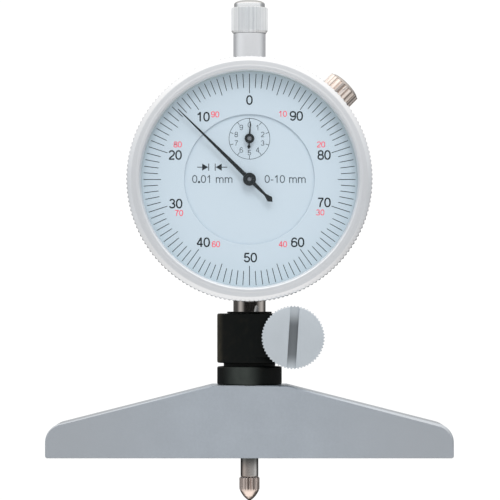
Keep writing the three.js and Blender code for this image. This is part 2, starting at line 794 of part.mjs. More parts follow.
function coverScrew(angle) {
  const x = coverScrewRing * Math.cos(angle);
  const z = dialZ + coverScrewRing * Math.sin(angle);
  const neckY = coverBackY - screwHeadHeight + seatGap;
  const body = turnedY([
    [0, coverBackY - screwLength], [screwRadius, coverBackY - screwLength], [screwRadius, neckY],
    [screwHeadRadius - seatGap, coverBackY], [0, coverBackY],
  ], smallSides, x, z);
  const slot = block(
    -screwHeadRadius, screwHeadRadius, coverBackY - screwSlotDepth, coverBackY + cutOverrun,
    -screwSlotWidth / 2, screwSlotWidth / 2).rotateY(angle + radians(lockAngleDegrees)).translate(x, 0, z);
  return cut(body, slot);
}

// Movement frame

const holeSites = [
  { x: 0, rise: 0, radius: fineArborRadius },
  { x: rackArborX, rise: rackArborRise, radius: arborRadius },
  { x: 0, rise: counterRise, radius: fineArborRadius },
];
const pillarSites = [
  { x: -pillarSpanX / 2, rise: pillarRise },
  { x: pillarSpanX / 2, rise: pillarRise },
  { x: lowPillarX, rise: lowPillarZ },
];
const bridgeSites = [[-1, -1], [1, -1], [-1, 1], [1, 1]].map(([sideX, sideZ]) => ({
  x: sideX * bridgePillarSpanX / 2, rise: sideZ * bridgePillarSpanZ / 2 }));

function arborHoles(frontY, backY) {
  return holeSites.map(({ x, rise, radius }) => rodY(
    radius + runningGap, frontY - cutOverrun, backY + cutOverrun, tinySides, x, dialZ + rise));
}

function pinHoles(sites, radius, frontY, backY) {
  return sites.map(({ x, rise }) => rodY(
    radius + seatGap, frontY - cutOverrun, backY + cutOverrun, tinySides, x, dialZ + rise));
}

function frontPlate() {
  const disc = rodY(caseBoreRadius - looseGap, frontPlateFrontY, frontPlateBackY, fineSides / 2, 0, dialZ);
  const screwHoles = [-1, 1].map((side) => rodY(
    plateScrewRadius + runningGap, frontPlateFrontY - cutOverrun, frontPlateBackY + cutOverrun, tinySides,
    side * coverScrewRing, dialZ));
  return cut(
    disc, ...arborHoles(frontPlateFrontY, frontPlateBackY), ...screwHoles,
    ...pinHoles(pillarSites, pillarHoleRadius, frontPlateFrontY, frontPlateBackY));
}

function plateScrew(side) {
  const x = side * coverScrewRing;
  const headFrontY = frontPlateFrontY + seatGap;
  return rodY(plateScrewRadius, headFrontY, headFrontY + screwLength, tinySides, x, dialZ);
}

function rearPlate() {
  const outline = roundedRectangle(rearPlateWidth, rearPlateHeight, rearPlateCorner);
  const plate = slab(outline, rearPlateFrontY, rearPlateBackY).translate(0, 0, dialZ);
  const studHole = pinHoles(studSites, studRadius, rearPlateFrontY, rearPlateBackY);
  return cut(
    plate, ...arborHoles(rearPlateFrontY, rearPlateBackY), ...studHole,
    ...pinHoles(pillarSites, pillarHoleRadius, rearPlateFrontY, rearPlateBackY),
    ...pinHoles(bridgeSites, pillarHoleRadius, rearPlateFrontY, rearPlateBackY));
}

// A shouldered pillar, its thin ends riveted into the plates on both sides.
function pillar({ x, rise }, radius, frontY, backY, frontThickness, backThickness) {
  const low = frontY + seatGap;
  const high = backY - seatGap;
  return turnedY([
    [0, frontY - frontThickness], [pillarHoleRadius, frontY - frontThickness], [pillarHoleRadius, low],
    [radius, low], [radius, high], [pillarHoleRadius, high], [pillarHoleRadius, backY + backThickness],
    [0, backY + backThickness],
  ], tinySides, x, dialZ + rise);
}

function bridge() {
  const outline = roundedRectangle(bridgeWidth, bridgeHeight, bridgeCorner);
  const plate = slab(outline, bridgeFrontY, bridgeBackY).translate(0, 0, dialZ);
  const slotHalf = guidePinRadius + runningGap;
  const slot = block(
    -slotHalf, slotHalf, bridgeFrontY - cutOverrun, bridgeBackY + cutOverrun,
    dialZ + guidePinRise - slotHalf, dialZ + guidePinRise + spindleTravel + slotHalf);
  const arborHole = rodY(
    arborRadius + runningGap, bridgeFrontY - cutOverrun, bridgeBackY + cutOverrun, tinySides,
    rackArborX, dialZ + rackArborRise);
  const postHole = rodY(
    springPostRadius + seatGap, bridgeFrontY - cutOverrun, bridgeBackY + cutOverrun, tinySides,
    0, dialZ + guidePinRise - springPostDrop);
  const pillarHoles = pinHoles(bridgeSites, pillarHoleRadius, bridgeFrontY, bridgeBackY);
  return cut(plate, slot, arborHole, postHole, ...pillarHoles);
}

// Gear train

const largeMeshAngle = Math.atan2(-rackArborRise, -rackArborX);
const rackToothStep = 2 * Math.PI / rackPinionTeeth;
const smallToothStep = 2 * Math.PI / smallPinionTeeth;
const smallToothAngle = largeMeshAngle + Math.PI + smallToothStep / 2;

function rackPinion() {
  const teeth = slab(
    gearOutline(rackPinionTeeth, rackModule, rackToothStep / 2, toothRootShare),
    -rackPinionFace / 2, rackPinionFace / 2);
  const arbor = rodY(arborRadius, frontPlateFrontY + seatGap, bridgeBackY - seatGap, tinySides);
  return join(teeth, arbor).translate(rackArborX, 0, dialZ + rackArborRise);
}

// A large gear with a hub behind it, its first tooth at an angle.
function largeGear(firstAngle, bore, x, rise) {
  const teeth = slab(gearOutline(largeGearTeeth, trainModule, firstAngle, 1), gearFrontY, gearBackY);
  const hub = rodY(gearHubRadius, gearBackY - gearThickness / 2, gearBackY + gearHubHeight, smallSides);
  const hole = rodY(
    bore + seatGap, gearFrontY - cutOverrun, gearBackY + gearHubHeight + cutOverrun, smallSides);
  return cut(join(teeth, hub), hole).translate(x, 0, dialZ + rise);
}

function centrePinion() {
  const frontY = gearFrontY - seatGap;
  const outline = gearOutline(smallPinionTeeth, trainModule, smallToothAngle, toothRootShare);
  const teeth = slab(outline, frontY, frontY + pinionFace);
  const arbor = rodY(fineArborRadius, pointerFrontY - seatGap, rearPlateBackY - seatGap, tinySides);
  return join(teeth, arbor).translate(0, 0, dialZ);
}

// The counter gear's gap sits over the pinion's nearest tooth, turned by the teeth's ratio.
function counterToothAngle() {
  const up = Math.PI / 2;
  const nearest = Math.round((up - smallToothAngle) / smallToothStep);
  const offset = smallToothAngle + nearest * smallToothStep - up;
  const gap = -up - offset * smallPinionTeeth / largeGearTeeth;
  return gap + Math.PI / largeGearTeeth;
}

function counterArbor() {
  return rodY(
    fineArborRadius, smallHandFrontY - smallHandPinReach, rearPlateBackY - seatGap, tinySides,
    0, dialZ + counterRise);
}

const hairspringFrontY = gearBackY + gearHubHeight / 2;
const studSites = [{ x: -(hairspringOuter + studRadius + looseGap), rise: counterRise }];

// A flat strip wound outwards at a steady rate; each step has four corners.
function hairspring() {
  const steps = hairspringTurns * hairspringSteps;
  const centreZ = dialZ + counterRise;
  const positions = [];
  const index = [];
  for (let step = 0; step <= steps; step += 1) {
    const angle = Math.PI + 2 * Math.PI * (step - steps) / hairspringSteps;
    const middle = share(hairspringInner + gearHubRadius / 2, hairspringOuter, step / steps);
    const half = hairspringThickness / 2;
    for (const [side, y] of [[-half, 0], [half, 0], [half, hairspringHeight], [-half, hairspringHeight]]) {
      const reach = middle + side;
      positions.push(reach * Math.cos(angle), hairspringFrontY + y, centreZ + reach * Math.sin(angle));
    }
  }
  for (let step = 0; step < steps; step += 1) {
    for (let corner = 0; corner < 4; corner += 1) {
      const a = 4 * step + corner;
      const b = 4 * step + (corner + 1) % 4;
      index.push(a, b, b + 4, a, b + 4, a + 4);
    }
  }
  const end = 4 * steps;
  index.push(0, 2, 1, 0, 3, 2, end, end + 1, end + 2, end, end + 2, end + 3);
  const geometry = new THREE.BufferGeometry();
  geometry.setAttribute("position", new THREE.Float32BufferAttribute(positions, 3));
  geometry.setIndex(index);
  return geometry;
}

function hairspringStud() {
  const backY = rearPlateBackY - seatGap;
  return rodY(studRadius, hairspringFrontY, backY, tinySides, studSites[0].x, dialZ + counterRise);
}

// Return spring: an eye round the post, a coil, and an eye round the guide pin.

function returnSpring() {
  const pinZ = dialZ + guidePinRise;
  const postZ = pinZ - springPostDrop;
  const points = [];
  const postEye = springPostRadius + springWireRadius + runningGap;
  const pinEye = guidePinRadius + springWireRadius + runningGap;
  const eye = (centreZ, radius, from) => {
    for (let step = 0; step <= springEyeSteps; step += 1) {
      const angle = from - 1.5 * Math.PI * step / springEyeSteps;
      points.push(new THREE.Vector3(radius * Math.cos(angle), springY, centreZ + radius * Math.sin(angle)));
    }
  };
  eye(postZ, postEye, 2 * Math.PI);
  const lowZ = postZ + postEye + springEndRun;
  const highZ = pinZ - pinEye - springEndRun;
  const steps = springTurns * springStepsPerTurn;
  for (let step = 0; step <= steps; step += 1) {
    const angle = 2 * Math.PI * step / springStepsPerTurn;
    const z = share(lowZ, highZ, step / steps);
    const y = springY + springRadius * Math.sin(angle);
    points.push(new THREE.Vector3(springRadius * Math.cos(angle), y, z));
  }
  eye(pinZ, pinEye, -Math.PI / 2);
  return wireAlong(points, springWireRadius, springWireSides);
}

function springPost() {
  const z = dialZ + guidePinRise - springPostDrop;
  return rodY(springPostRadius, bridgeFrontY + seatGap, guidePinReach, tinySides, 0, z);
}

// Dial, crystal and bezel

function dialPlate() {
  const disc = rodY(dialPlateRadius, dialPlateFrontY, dialPlateBackY, fineSides, 0, dialZ);
  const holes = [0, counterRise].map((rise) => rodY(
    fineArborRadius + runningGap, dialPlateFrontY - cutOverrun, dialPlateBackY + cutOverrun, tinySides,
    0, dialZ + rise));
  return cut(disc, ...holes);
}

function ringY(inner, outer, frontY, backY) {
  return turnedY([[inner, frontY], [outer, frontY], [outer, backY], [inner, backY], [inner, frontY]],
    fineSides, 0, dialZ);
}

function bezel() {
  const coveY = bezelFrontY + coveDepth;
  const rimEdge = bezelRadius - rimChamfer;
  const grooveRadius = bezelBoreRadius + wireRadius;
  const grooveLow = wireY - wireRadius - runningGap;
  const grooveHigh = wireY + wireRadius + runningGap;
  return turnedY([
    [lipInnerRadius, bezelFrontY + lipThickness], [lipInnerRadius, bezelFrontY + lipBevel],
    [lipInnerRadius + lipBevel, bezelFrontY], [lipOuterRadius, bezelFrontY],
    [lipOuterRadius, coveY], [coveOuterRadius, coveY], [rimEdge, bezelRimFrontY - rimChamfer],
    [bezelRadius, bezelRimFrontY], [bezelRadius, bezelRimBackY - rimChamfer], [rimEdge, bezelRimBackY],
    [bezelSkirtRadius, bezelRimBackY],
    [bezelSkirtRadius, bezelBackY], [bezelBoreRadius, bezelBackY], [bezelBoreRadius, grooveHigh],
    [grooveRadius, grooveHigh], [grooveRadius, grooveLow], [bezelBoreRadius, grooveLow],
    [bezelBoreRadius, bezelFrontY + lipThickness], [lipInnerRadius, bezelFrontY + lipThickness],
  ], fineSides, 0, dialZ);
}

function bezelWire() {
  const points = [];
  const gap = radians(wireGapDegrees);
  const middle = caseRadius + (bezelBoreRadius - caseRadius) / 2;
  for (let step = 0; step <= wireSteps; step += 1) {
    const angle = -Math.PI / 2 + gap / 2 + (2 * Math.PI - gap) * step / wireSteps;
    points.push(new THREE.Vector3(middle * Math.cos(angle), wireY, dialZ + middle * Math.sin(angle)));
  }
  return wireAlong(points, wireRadius, wireSides);
}

// Bezel lock, built upright over the dial's centre and then turned to its place.

function turnedToLock(geometry) {
  const turn = Math.PI / 2 - radians(lockAngleDegrees);
  return geometry.translate(0, lockY, 0).rotateY(turn).translate(0, 0, dialZ);
}

function lockShoe() {
  const low = caseRadius + looseGap;
  const step = bezelSkirtRadius + looseGap;
  const stepY = bezelBackY + looseGap - lockY;
  const frontY = stepY - shoeOverlap;
  const backY = lockHeadRadius - lockToothDepth;
  const heel = block(-shoeWidth / 2, shoeWidth / 2, stepY, backY, low, shoeTop);
  const toe = block(-shoeWidth / 2, shoeWidth / 2, frontY, stepY + looseGap, step, shoeTop);
  const hole = rodZ(lockShankRadius + looseGap, low - cutOverrun, shoeTop + cutOverrun, smallSides);
  return turnedToLock(cut(join(heel, toe), hole));
}

function lockScrew() {
  const lowZ = shoeTop + looseGap;
  const root = lockHeadRadius - lockToothDepth;
  const dome = [];
  for (let step = 0; step <= lockDomeSteps; step += 1) {
    const angle = Math.PI / 2 * step / lockDomeSteps;
    dome.push([root * Math.cos(angle), lockHeadOuter + (lockHeadApex - lockHeadOuter) * Math.sin(angle)]);
  }
  const core = turnedZ([
    [0, lockShankInner], [lockShankRadius, lockShankInner], [lockShankRadius, lowZ], [root, lowZ], ...dome,
  ], smallSides * 2);
  const head = new THREE.ExtrudeGeometry(knurledOutline(lockTeeth, lockHeadRadius, lockToothDepth), {
    depth: lockHeadOuter - lowZ, bevelEnabled: false }).translate(0, 0, lowZ);
  return turnedToLock(join(core, head));
}

// Pointers, drawn along +X and turned to where they point at rest

function longPointer() {
  const rootHalf = pointerRootWidth / 2;
  const tipHalf = pointerTipWidth / 2;
  const neckHalf = pointerNeckWidth / 2;
  const spadeHalf = spadeWidth / 2;
  const spadeStart = spadeLength - pointerTailReach;
  const spadeWidest = spadeTipLength - pointerTailReach;
  const upperEdge = [
    [pointerReach, tipHalf], [0, rootHalf], [spadeStart, neckHalf], [spadeWidest, spadeHalf],
    [-pointerTailReach, tipHalf],
  ].map(([x, y]) => new THREE.Vector2(x, y));
  const lowerEdge = upperEdge.map(({ x, y }) => new THREE.Vector2(x, -y)).reverse();
  const outline = new THREE.Shape([...upperEdge, ...lowerEdge]);
  const blade = slab(outline, pointerFrontY, pointerBackY);
  const hub = rodY(
    pointerHubRadius, pointerBackY - pointerHubHeight, pointerBackY, smallSides);
  const bore = rodY(
    fineArborRadius + seatGap, pointerFrontY - 2 * seatGap, pointerBackY + cutOverrun, smallSides);
  return cut(join(blade, hub), bore).rotateY(-radians(pointerDegrees)).translate(0, 0, dialZ);
}

function smallPointer() {
  const half = smallHandWidth / 2;
  const outline = new THREE.Shape([
    new THREE.Vector2(smallHandReach, 0), new THREE.Vector2(0, half), new THREE.Vector2(-smallHandTail, half),
    new THREE.Vector2(-smallHandTail, -half), new THREE.Vector2(0, -half),
  ]);
  const blade = slab(outline, smallHandFrontY, smallHandBackY);
  const hub = rodY(smallHandHubRadius, smallHandFrontY, smallHandBackY, smallSides);
  const bore = rodY(
    fineArborRadius + seatGap, smallHandFrontY - cutOverrun, smallHandBackY + cutOverrun, smallSides);
  const hand = cut(join(blade, hub), bore);
  return hand.rotateY(-radians(smallHandDegrees)).translate(0, 0, dialZ + counterRise);
}

// Assembly

add("base", measuringBase(), groundSteel);
add("collar", splitCollar(), blackOxide);
add("collar_set_screw", collarSetScrew(), blackOxide);
add("clamp_screw", clampScrew(), satinNickel);
add("clamp_bush", clampBush(), blackOxide);
add("stem", stem(), polishedSteel);
add("lower_guide", lowerGuide(), brass);
add("case_body", caseBody(), satinAluminium);
add("back_cover", backCover(), satinAluminium);
sideAngles.forEach((angle, place) => add(`cover_screw_${place + 1}`, coverScrew(angle), brightNickel));
add("upper_sleeve", upperSleeve(), satinAluminium);
add("upper_guide", upperGuide(), brass);
add("top_cap", topCap(), satinNickel);
add("front_plate", frontPlate(), brass);
[-1, 1].forEach((side, place) => add(`plate_screw_${place + 1}`, plateScrew(side), brightNickel));
add("rear_plate", rearPlate(), brass);
pillarSites.forEach((site, place) => {
  const solid = pillar(
    site, pillarRadius, frontPlateBackY, rearPlateFrontY, frontPlateThickness, rearPlateThickness);
  add(`plate_pillar_${place + 1}`, solid, brass);
});
add("bridge", bridge(), brass);
bridgeSites.forEach((site, place) => {
  const solid = pillar(
    site, bridgePillarRadius, rearPlateBackY, bridgeFrontY, rearPlateThickness, bridgeThickness);
  add(`bridge_pillar_${place + 1}`, solid, brass);
});
add("rack_pinion", rackPinion(), springSteel);
add("rack_gear", largeGear(largeMeshAngle, arborRadius, rackArborX, rackArborRise), brass);
add("centre_pinion", centrePinion(), springSteel);
add("counter_gear", largeGear(counterToothAngle(), fineArborRadius, 0, counterRise), brass);
add("counter_arbor", counterArbor(), springSteel);
add("hairspring", hairspring(), springSteel);
add("hairspring_stud", hairspringStud(), brass);
add("return_spring", returnSpring(), springSteel);
add("spring_post", springPost(), springSteel);
add("dial_plate", dialPlate(), dialPaint);
const fitRadius = bezelBoreRadius - seatGap;
add("dial_ring", ringY(dialRingHole, fitRadius, dialRingFrontY, dialRingBackY), dialPaint);
add("dial_spacer", ringY(fitRadius - spacerWall, fitRadius, spacerFrontY, spacerBackY), satinAluminium);
add("crystal", rodY(fitRadius, crystalFrontY, crystalBackY, fineSides, 0, dialZ), clearGlass);
add("bezel", bezel(), satinAluminium);
add("bezel_wire", bezelWire(), springSteel);
add("bezel_lock_shoe", lockShoe(), brightNickel);
add("bezel_lock_screw", lockScrew(), brightNickel);
add("spindle", spindle(), spindleSteel);
add("contact_point", contactPoint(), spindleSteel);
add("guide_pin", guidePin(), springSteel);
add("pointer", longPointer(), handBlack);
add("counter_pointer", smallPointer(), handBlack);

export default gauge;
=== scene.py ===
"""A dial depth gauge: the finished look of every surface, built around the fixed frame of its solids."""

import json
import math

import bmesh
import bpy
import numpy as np
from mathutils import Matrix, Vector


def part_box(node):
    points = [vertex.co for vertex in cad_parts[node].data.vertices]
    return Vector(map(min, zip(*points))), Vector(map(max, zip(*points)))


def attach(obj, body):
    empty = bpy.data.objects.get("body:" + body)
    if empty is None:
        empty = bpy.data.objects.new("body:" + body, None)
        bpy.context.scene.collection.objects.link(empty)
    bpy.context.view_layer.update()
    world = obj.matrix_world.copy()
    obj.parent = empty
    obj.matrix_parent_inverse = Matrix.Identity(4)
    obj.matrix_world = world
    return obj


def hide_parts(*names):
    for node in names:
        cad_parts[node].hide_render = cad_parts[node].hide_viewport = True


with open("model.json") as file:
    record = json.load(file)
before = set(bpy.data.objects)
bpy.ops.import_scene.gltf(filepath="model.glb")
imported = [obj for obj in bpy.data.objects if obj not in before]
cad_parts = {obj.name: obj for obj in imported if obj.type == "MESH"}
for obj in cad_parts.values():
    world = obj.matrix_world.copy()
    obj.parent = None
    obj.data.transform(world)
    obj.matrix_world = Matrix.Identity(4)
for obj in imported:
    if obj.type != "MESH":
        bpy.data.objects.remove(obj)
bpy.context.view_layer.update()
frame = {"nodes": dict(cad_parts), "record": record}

# Units: every size below is in millimetres, and becomes metres when a mesh, a lamp or the camera is made

MM = 0.001
X, Y, Z = range(3)


def span(node, axis):
    """The lowest and highest place of a solid along an axis."""
    low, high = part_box(node)
    return low[axis] / MM, high[axis] / MM


def centre_of(node, axis):
    """The place halfway along a solid."""
    low, high = span(node, axis)
    return (low + high) / 2


def half_of(node, axis=X):
    """Half of a solid's width."""
    low, high = span(node, axis)
    return (high - low) / 2


# Places that the frame gives

base_low, base_high = span("base", Z)
cap_low, cap_high = span("top_cap", Z)
knob_front, knob_end = span("clamp_screw", Y)
knob_z = centre_of("clamp_screw", Z)
dial_z = centre_of("bezel", Z)
counter_z = centre_of("counter_arbor", Z)
bezel_radius = half_of("bezel")
case_radius = half_of("case_body")
ring_front = span("dial_ring", Y)[0]
plate_front = span("dial_plate", Y)[0]

# Gaps, and rounds of edges from crisp to broad

running_gap = 0.12
seat_gap = 0.05
loose_gap = 0.3
overrun = 1.0
crisp = 0.05
fine = 0.1
small = 0.15
soft = 0.2
broad = 0.3

# Measuring base

base_top_half = 9.3
base_end_height = 7.5
base_shoulder_radius = 5.0
base_foot_radius = 0.6
base_top_corner_radius = 0.25
base_chamfer = 0.24
base_edge_round = 0.07
base_chamfer_foot_share = 0.4
base_chamfer_right_share = 2.6
base_chamfer_right_start = 0.15
spindle_hole_radius = 3.25
spindle_hole_chamfer = 0.35
socket_radius = 6.0
socket_depth = 8.5
set_screw_radius = 1.5
set_screw_drop = 4.0
set_screw_socket_radius = 0.7
set_screw_socket_depth = 0.8

# Collar, bush and clamp screw

collar_radius = 8.0
collar_throat_radius = 4.3
collar_bore_radius = 5.0
collar_edge_round = 0.4
neck_radius = 6.4
flange_height = 4.5
flange_z = base_high + flange_height
groove_height = 0.9
clamp_slit = 1.0
ear_height = 10.75
ear_corner_radius = 2.5
bush_flange_height = 0.4
knob_radius = 7.75
knob_teeth = 58
knob_tooth_depth = 0.4
knob_edge_round = 0.45
knob_slot_width = 2.2
knob_slot_depth = 1.3
knob_slot_lean = math.radians(3.6)
knob_slot_rise = 0.45
knob_thickness = 4.2
knob_x = 10.6
screw_shank_radius = 2.0
shank_end_round = 0.4

# Stem, sleeve, cap and spindle

stem_radius = 4.0
stem_bore_radius = 3.0
stem_chamfer = 0.4
sleeve_neck_radius = 3.2
sleeve_neck_length = 5.5
sleeve_bore_radius = 2.5
sleeve_seat_length = 6.05
cap_radius = 4.5
cap_teeth = 54
cap_tooth_depth = 0.32
cap_tooth_flat = 0.1
cap_knurl_below = 0.4
cap_knurl_above = 0.1
cap_foot_height = 0.7
cap_step = 0.12
cap_lip_inset = 0.3
cap_dome_height = 1.9
cap_dome_radius = 3.83
cap_dome_wall = 0.85
cap_dome_power = 0.8
cap_roof = 1.6
spindle_radius = 2.2
contact_radius = 2.5
contact_nose_height = 2.8
contact_nose_heights = np.array([0, 0.01, 0.03, 0.08, 0.22, 0.43, 0.65, 0.85, 0.98])
contact_nose_radii = np.array([0, 0.06, 0.12, 0.18, 0.38, 0.6, 0.77, 0.9, 0.95])
contact_band_height = 3.2
contact_shoulder = 0.3
contact_stub_radius = 1.15
contact_stub_length = 4.0
contact_grooves = 20
contact_groove_depth = 0.22
contact_groove_flat = 0.45
rack_pitch = 0.625
rack_flat_depth = 0.15
rack_tooth_depth = 0.33
rack_tooth_top = 0.85
rack_tooth_slope = 0.5
rack_teeth_below = 21
rack_teeth_above = 3

# Case and back cover

case_wall = 2.0
wire_groove = (-5.87, -4.93)
wire_groove_depth = 0.7
lug_depth = 4.5
lug_width = 13.0
side_lug_width = 10.0
cover_edge_round = 0.45
cover_bead_radius = 19.0
cover_bead_width = 0.5
cover_bead_depth = 0.12
quarter_turns = [quarter * math.pi / 2 for quarter in range(4)]
screw_ring = 22.7
screw_centres = [(screw_ring * math.cos(turn), dial_z + screw_ring * math.sin(turn)) for turn in quarter_turns]
screw_hole_radius = 1.02
screw_hole_depth = 5.0
screw_radius = 0.9
screw_head_radius = 1.7
screw_head_height = 0.9
screw_head_sunk = 0.01
screw_head_edge = 0.03
screw_head_bevel = 0.1
screw_slot_width = 0.4
screw_slot_depth = 0.4
screw_slot_overrun = 0.2
screw_slot_turn = 0.35

# Bezel, crystal and dial

band_width = 2.5
lip_width = 1.2
skirt_step = 1.6
skirt_wall = 1.2
skirt_groove_depth = 0.35
band_depth = 0.05
band_slope = 0.07
rim_slope_width = 1.25
rim_slope_end = 0.85
lip_bevel = 0.6
lip_bevel_width = 0.55
lip_thickness = 0.8
rim_front_drop = 1.2
rim_thickness = 5.0
rim_chamfer = 0.35
bezel_teeth = 170
bezel_tooth_depth = 0.3
spacer_wall = 0.75
spacer_round = 0.12
dial_hole_radius = 15.9

# Bezel lock

lock_angle = math.radians(45)
lock_y = 1.5
lock_head_radius = 4.5
lock_teeth = 22
lock_tooth_depth = 0.45
lock_tooth_flat = 0.6
lock_head_outer = 33.45
lock_head_apex = 34.35
lock_shank_inner = 22.6
shoe_width = 7.0
shoe_top = 29.4
shoe_overlap = 1.6
shoe_corner_round = 0.6

# Pointers

pointer_angle = math.radians(135.5)
pointer_reach = 24.4
pointer_tail = 7.85
pointer_root_width = 1.1
pointer_neck_width = 0.62
pointer_tip_width = 0.22
pointer_hub_radius = 1.6
pointer_hub_height = 0.9
pointer_hub_dish = 0.12
pointer_thickness = 0.25
spade_width = 1.6
spade_length = 2.4
spade_tip_length = 0.9
hand_angle = math.radians(86.8)
hand_reach = 4.2
hand_tail = 2.6
hand_spade_half_length = 0.55
hand_half_widths = (0.06, 0.44, 0.17, 0.275, 0.08)
hand_hub_radius = 1.2
hand_hub_rise = 0.02
arbor_radius = 0.5
blade_section_points = 16
blade_section_power = 0.6

# Printing on the dial, from the photograph

print_thickness = 0.015
print_gap = 0.004
tick_outer = 25.9
tick_inner = 22.4
five_tick_inner = 21.6
ten_tick_inner = 21.1
tick_width = 0.17
black_height = 2.3
black_pen = 0.155
red_height = 1.45
red_pen = 0.13
unit_height = 1.92
unit_pen = 0.115
counter_height = 1.32
counter_pen = 0.11
counter_ring_radius = 5.0
counter_ring_width = 0.13
counter_tick_inner = 4.15
counter_tick_width = 0.15
counter_digit_radius = 3.4
arrow_row = 875
arrow_length = 1.6
arrow_half_height = 0.87
arrow_pen = 0.19
arrow_gap = 0.12
dot_x = -12.33
dot_up = -0.6
dot_width = 0.5
sign_width = 1.08
sign_middle = 0.5
oval_power = 0.88

# Geometry


def unit(vectors):
    """Each vector divided by its length."""
    length = np.linalg.norm(vectors, axis=-1, keepdims=True)
    return vectors / np.maximum(length, 1e-12)


def rounded(corners, steps=6):
    """An outline of corners (x, y) or (x, y, radius), where a radius makes an arc tangent to both sides.

    The arc's centre lies on the corner's bisector, at radius over sine of the half angle. A point at share s
    of the arc is the centre plus its two end arms, weighted by sin((1 - s) a) / sin a and sin(s a) / sin a.
    """
    corners = list(corners)
    radii = np.array([corner[2] if len(corner) > 2 else 0 for corner in corners], float)
    corners = np.array([corner[:2] for corner in corners], float)
    before = np.roll(corners, 1, axis=0) - corners
    after = np.roll(corners, -1, axis=0) - corners
    reach = np.minimum(np.linalg.norm(before, axis=1), np.linalg.norm(after, axis=1))
    before, after = unit(before), unit(after)
    half = np.arccos(np.clip((before * after).sum(1), -1, 1)) / 2
    radii[half > math.pi / 2 - 1e-3] = 0
    half = np.clip(half, 1e-3, math.pi / 2 - 1e-3)
    tangent = np.minimum(radii / np.tan(half), 0.48 * reach)
    radius = tangent * np.tan(half)
    centre = corners + unit(before + after) * (radius / np.sin(half))[:, None]
    start_arm = corners + before * tangent[:, None] - centre
    end_arm = corners + after * tangent[:, None] - centre
    sweep = (math.pi - 2 * half)[:, None]
    step = np.linspace(0, 1, steps)[None, :]
    start_weight = np.sin((1 - step) * sweep) / np.sin(sweep)
    end_weight = np.sin(step * sweep) / np.sin(sweep)
    points = (centre[:, None] + start_weight[..., None] * start_arm[:, None]
              + end_weight[..., None] * end_arm[:, None])
    kept = np.ones((len(corners), steps), bool)
    kept[radius < 1e-9, 1:] = False
    points[radius < 1e-9, 0] = corners[radius < 1e-9]
    return points[kept]


def grid_faces(rows, columns, rows_close, columns_close):
    """Four-sided faces between neighbours in a grid, which may close on itself either way."""
    row = np.arange(rows if rows_close else rows - 1)[:, None]
    column = np.arange(columns if columns_close else columns - 1)[None, :]
    low, high = row * columns, (row + 1) % rows * columns
    right = (column + 1) % columns
    return np.stack([low + column, low + right, high + right, high + column], axis=-1).reshape(-1, 4).tolist()


def piece(name, points, faces, place=None, sharp=30.0):
    """An object from points in millimetres, with its normals outwards and smooth up to an angle in degrees."""
    points = np.asarray(points, float)
    if place is not None:
        points = place(points)
    mesh = bpy.data.meshes.new(name)
    mesh.from_pydata(points * MM, [], [list(map(int, face)) for face in faces])
    made = bpy.data.objects.new(name, mesh)
    bpy.context.scene.collection.objects.link(made)
    close(made, sharp)
    return made


def close(made, sharp=30.0, merge=1e-8):
    """Closes seams, turns the faces outwards and shades the mesh smooth between its sharp edges."""
    body = bmesh.new()
    body.from_mesh(made.data)
    bmesh.ops.remove_doubles(body, verts=body.verts, dist=merge)
    bmesh.ops.recalc_face_normals(body, faces=body.faces)
    body.to_mesh(made.data)
    body.free()
    made.data.shade_smooth()
    made.data.set_sharp_from_angle(angle=math.radians(sharp))


def turned(name, profile, steps, place=None, carve=None, sharp=30.0):
    """A profile of (radius, height) turned about Z, closed by poles where it starts and ends on the axis.

    The point at angle a is (r cos a, r sin a, h), with r less what carve(a, r, h) takes away.
    """
    profile = np.asarray(profile, float)
    poles = profile[0, 0] < 1e-9 and profile[-1, 0] < 1e-9
    rings = profile[1:-1] if poles else profile
    angle = np.arange(steps) * 2 * math.pi / steps
    angles, radius = np.broadcast_arrays(angle[None, :], rings[:, :1])
    height = np.broadcast_to(rings[:, 1:2], radius.shape)
    if carve is not None:
        radius = radius - carve(angles, radius, height)
    points = np.stack([radius * np.cos(angles), radius * np.sin(angles), height], axis=-1).reshape(-1, 3)
    faces = grid_faces(len(rings), steps, not poles, True)
    if poles:
        first, last = len(points), len(points) + 1
        points = np.vstack([points, [0, 0, profile[0, 1]], [0, 0, profile[-1, 1]]])
        ring = np.arange(steps)
        beyond = (ring + 1) % steps
        top = (len(rings) - 1) * steps
        faces += np.stack([np.full(steps, first), beyond, ring], axis=-1).tolist()
        faces += np.stack([np.full(steps, last), top + ring, top + beyond], axis=-1).tolist()
    return piece(name, points, faces, place, sharp)


def drawn_in(outline, inset):
    """A counter-clockwise outline moved inwards: each point goes along the mitre of its two sides' normals."""
    side = unit(np.roll(outline, -1, axis=0) - outline)
    normal = np.stack([side[:, 1], -side[:, 0]], axis=-1)
    before = np.roll(normal, 1, axis=0)
    mitre = (normal + before) / np.maximum(1 + (normal * before).sum(1, keepdims=True), 0.2)
    return outline - inset * mitre


def slab(name, outline, section, place=None, shares=1.0):
    """A flat outline carried through its thickness: each section row is how far it is drawn in, and its depth.

    Where shares is given, a point's inset and its distance from the nearer face are multiplied by its share.
    """
    section = np.asarray(section, float)
    low, high = section[:, 1].min(), section[:, 1].max()
    count = len(outline)
    shares = np.broadcast_to(shares, count)
    rings = []
    for inset, depth in section:
        nearer_low = depth - low < high - depth
        eased = low + (depth - low) * shares if nearer_low else high - (high - depth) * shares
        rings.append(np.column_stack([drawn_in(outline, inset * shares[:, None]), eased]))
    faces = grid_faces(len(rings), count, False, True)
    faces += [range(count), range((len(rings) - 1) * count, len(rings) * count)]
    return piece(name, np.vstack(rings), faces, place)


def edge_section(low, high, chamfer, radius):
    """The section of a slab between two depths whose edges have a chamfer, with its own corners rounded."""
    flat = chamfer * 1.2
    return rounded([
        (flat, low), (chamfer, low, radius), (0, low + chamfer, radius), (0, high - chamfer, radius),
        (chamfer, high, radius), (flat, high)], 4)


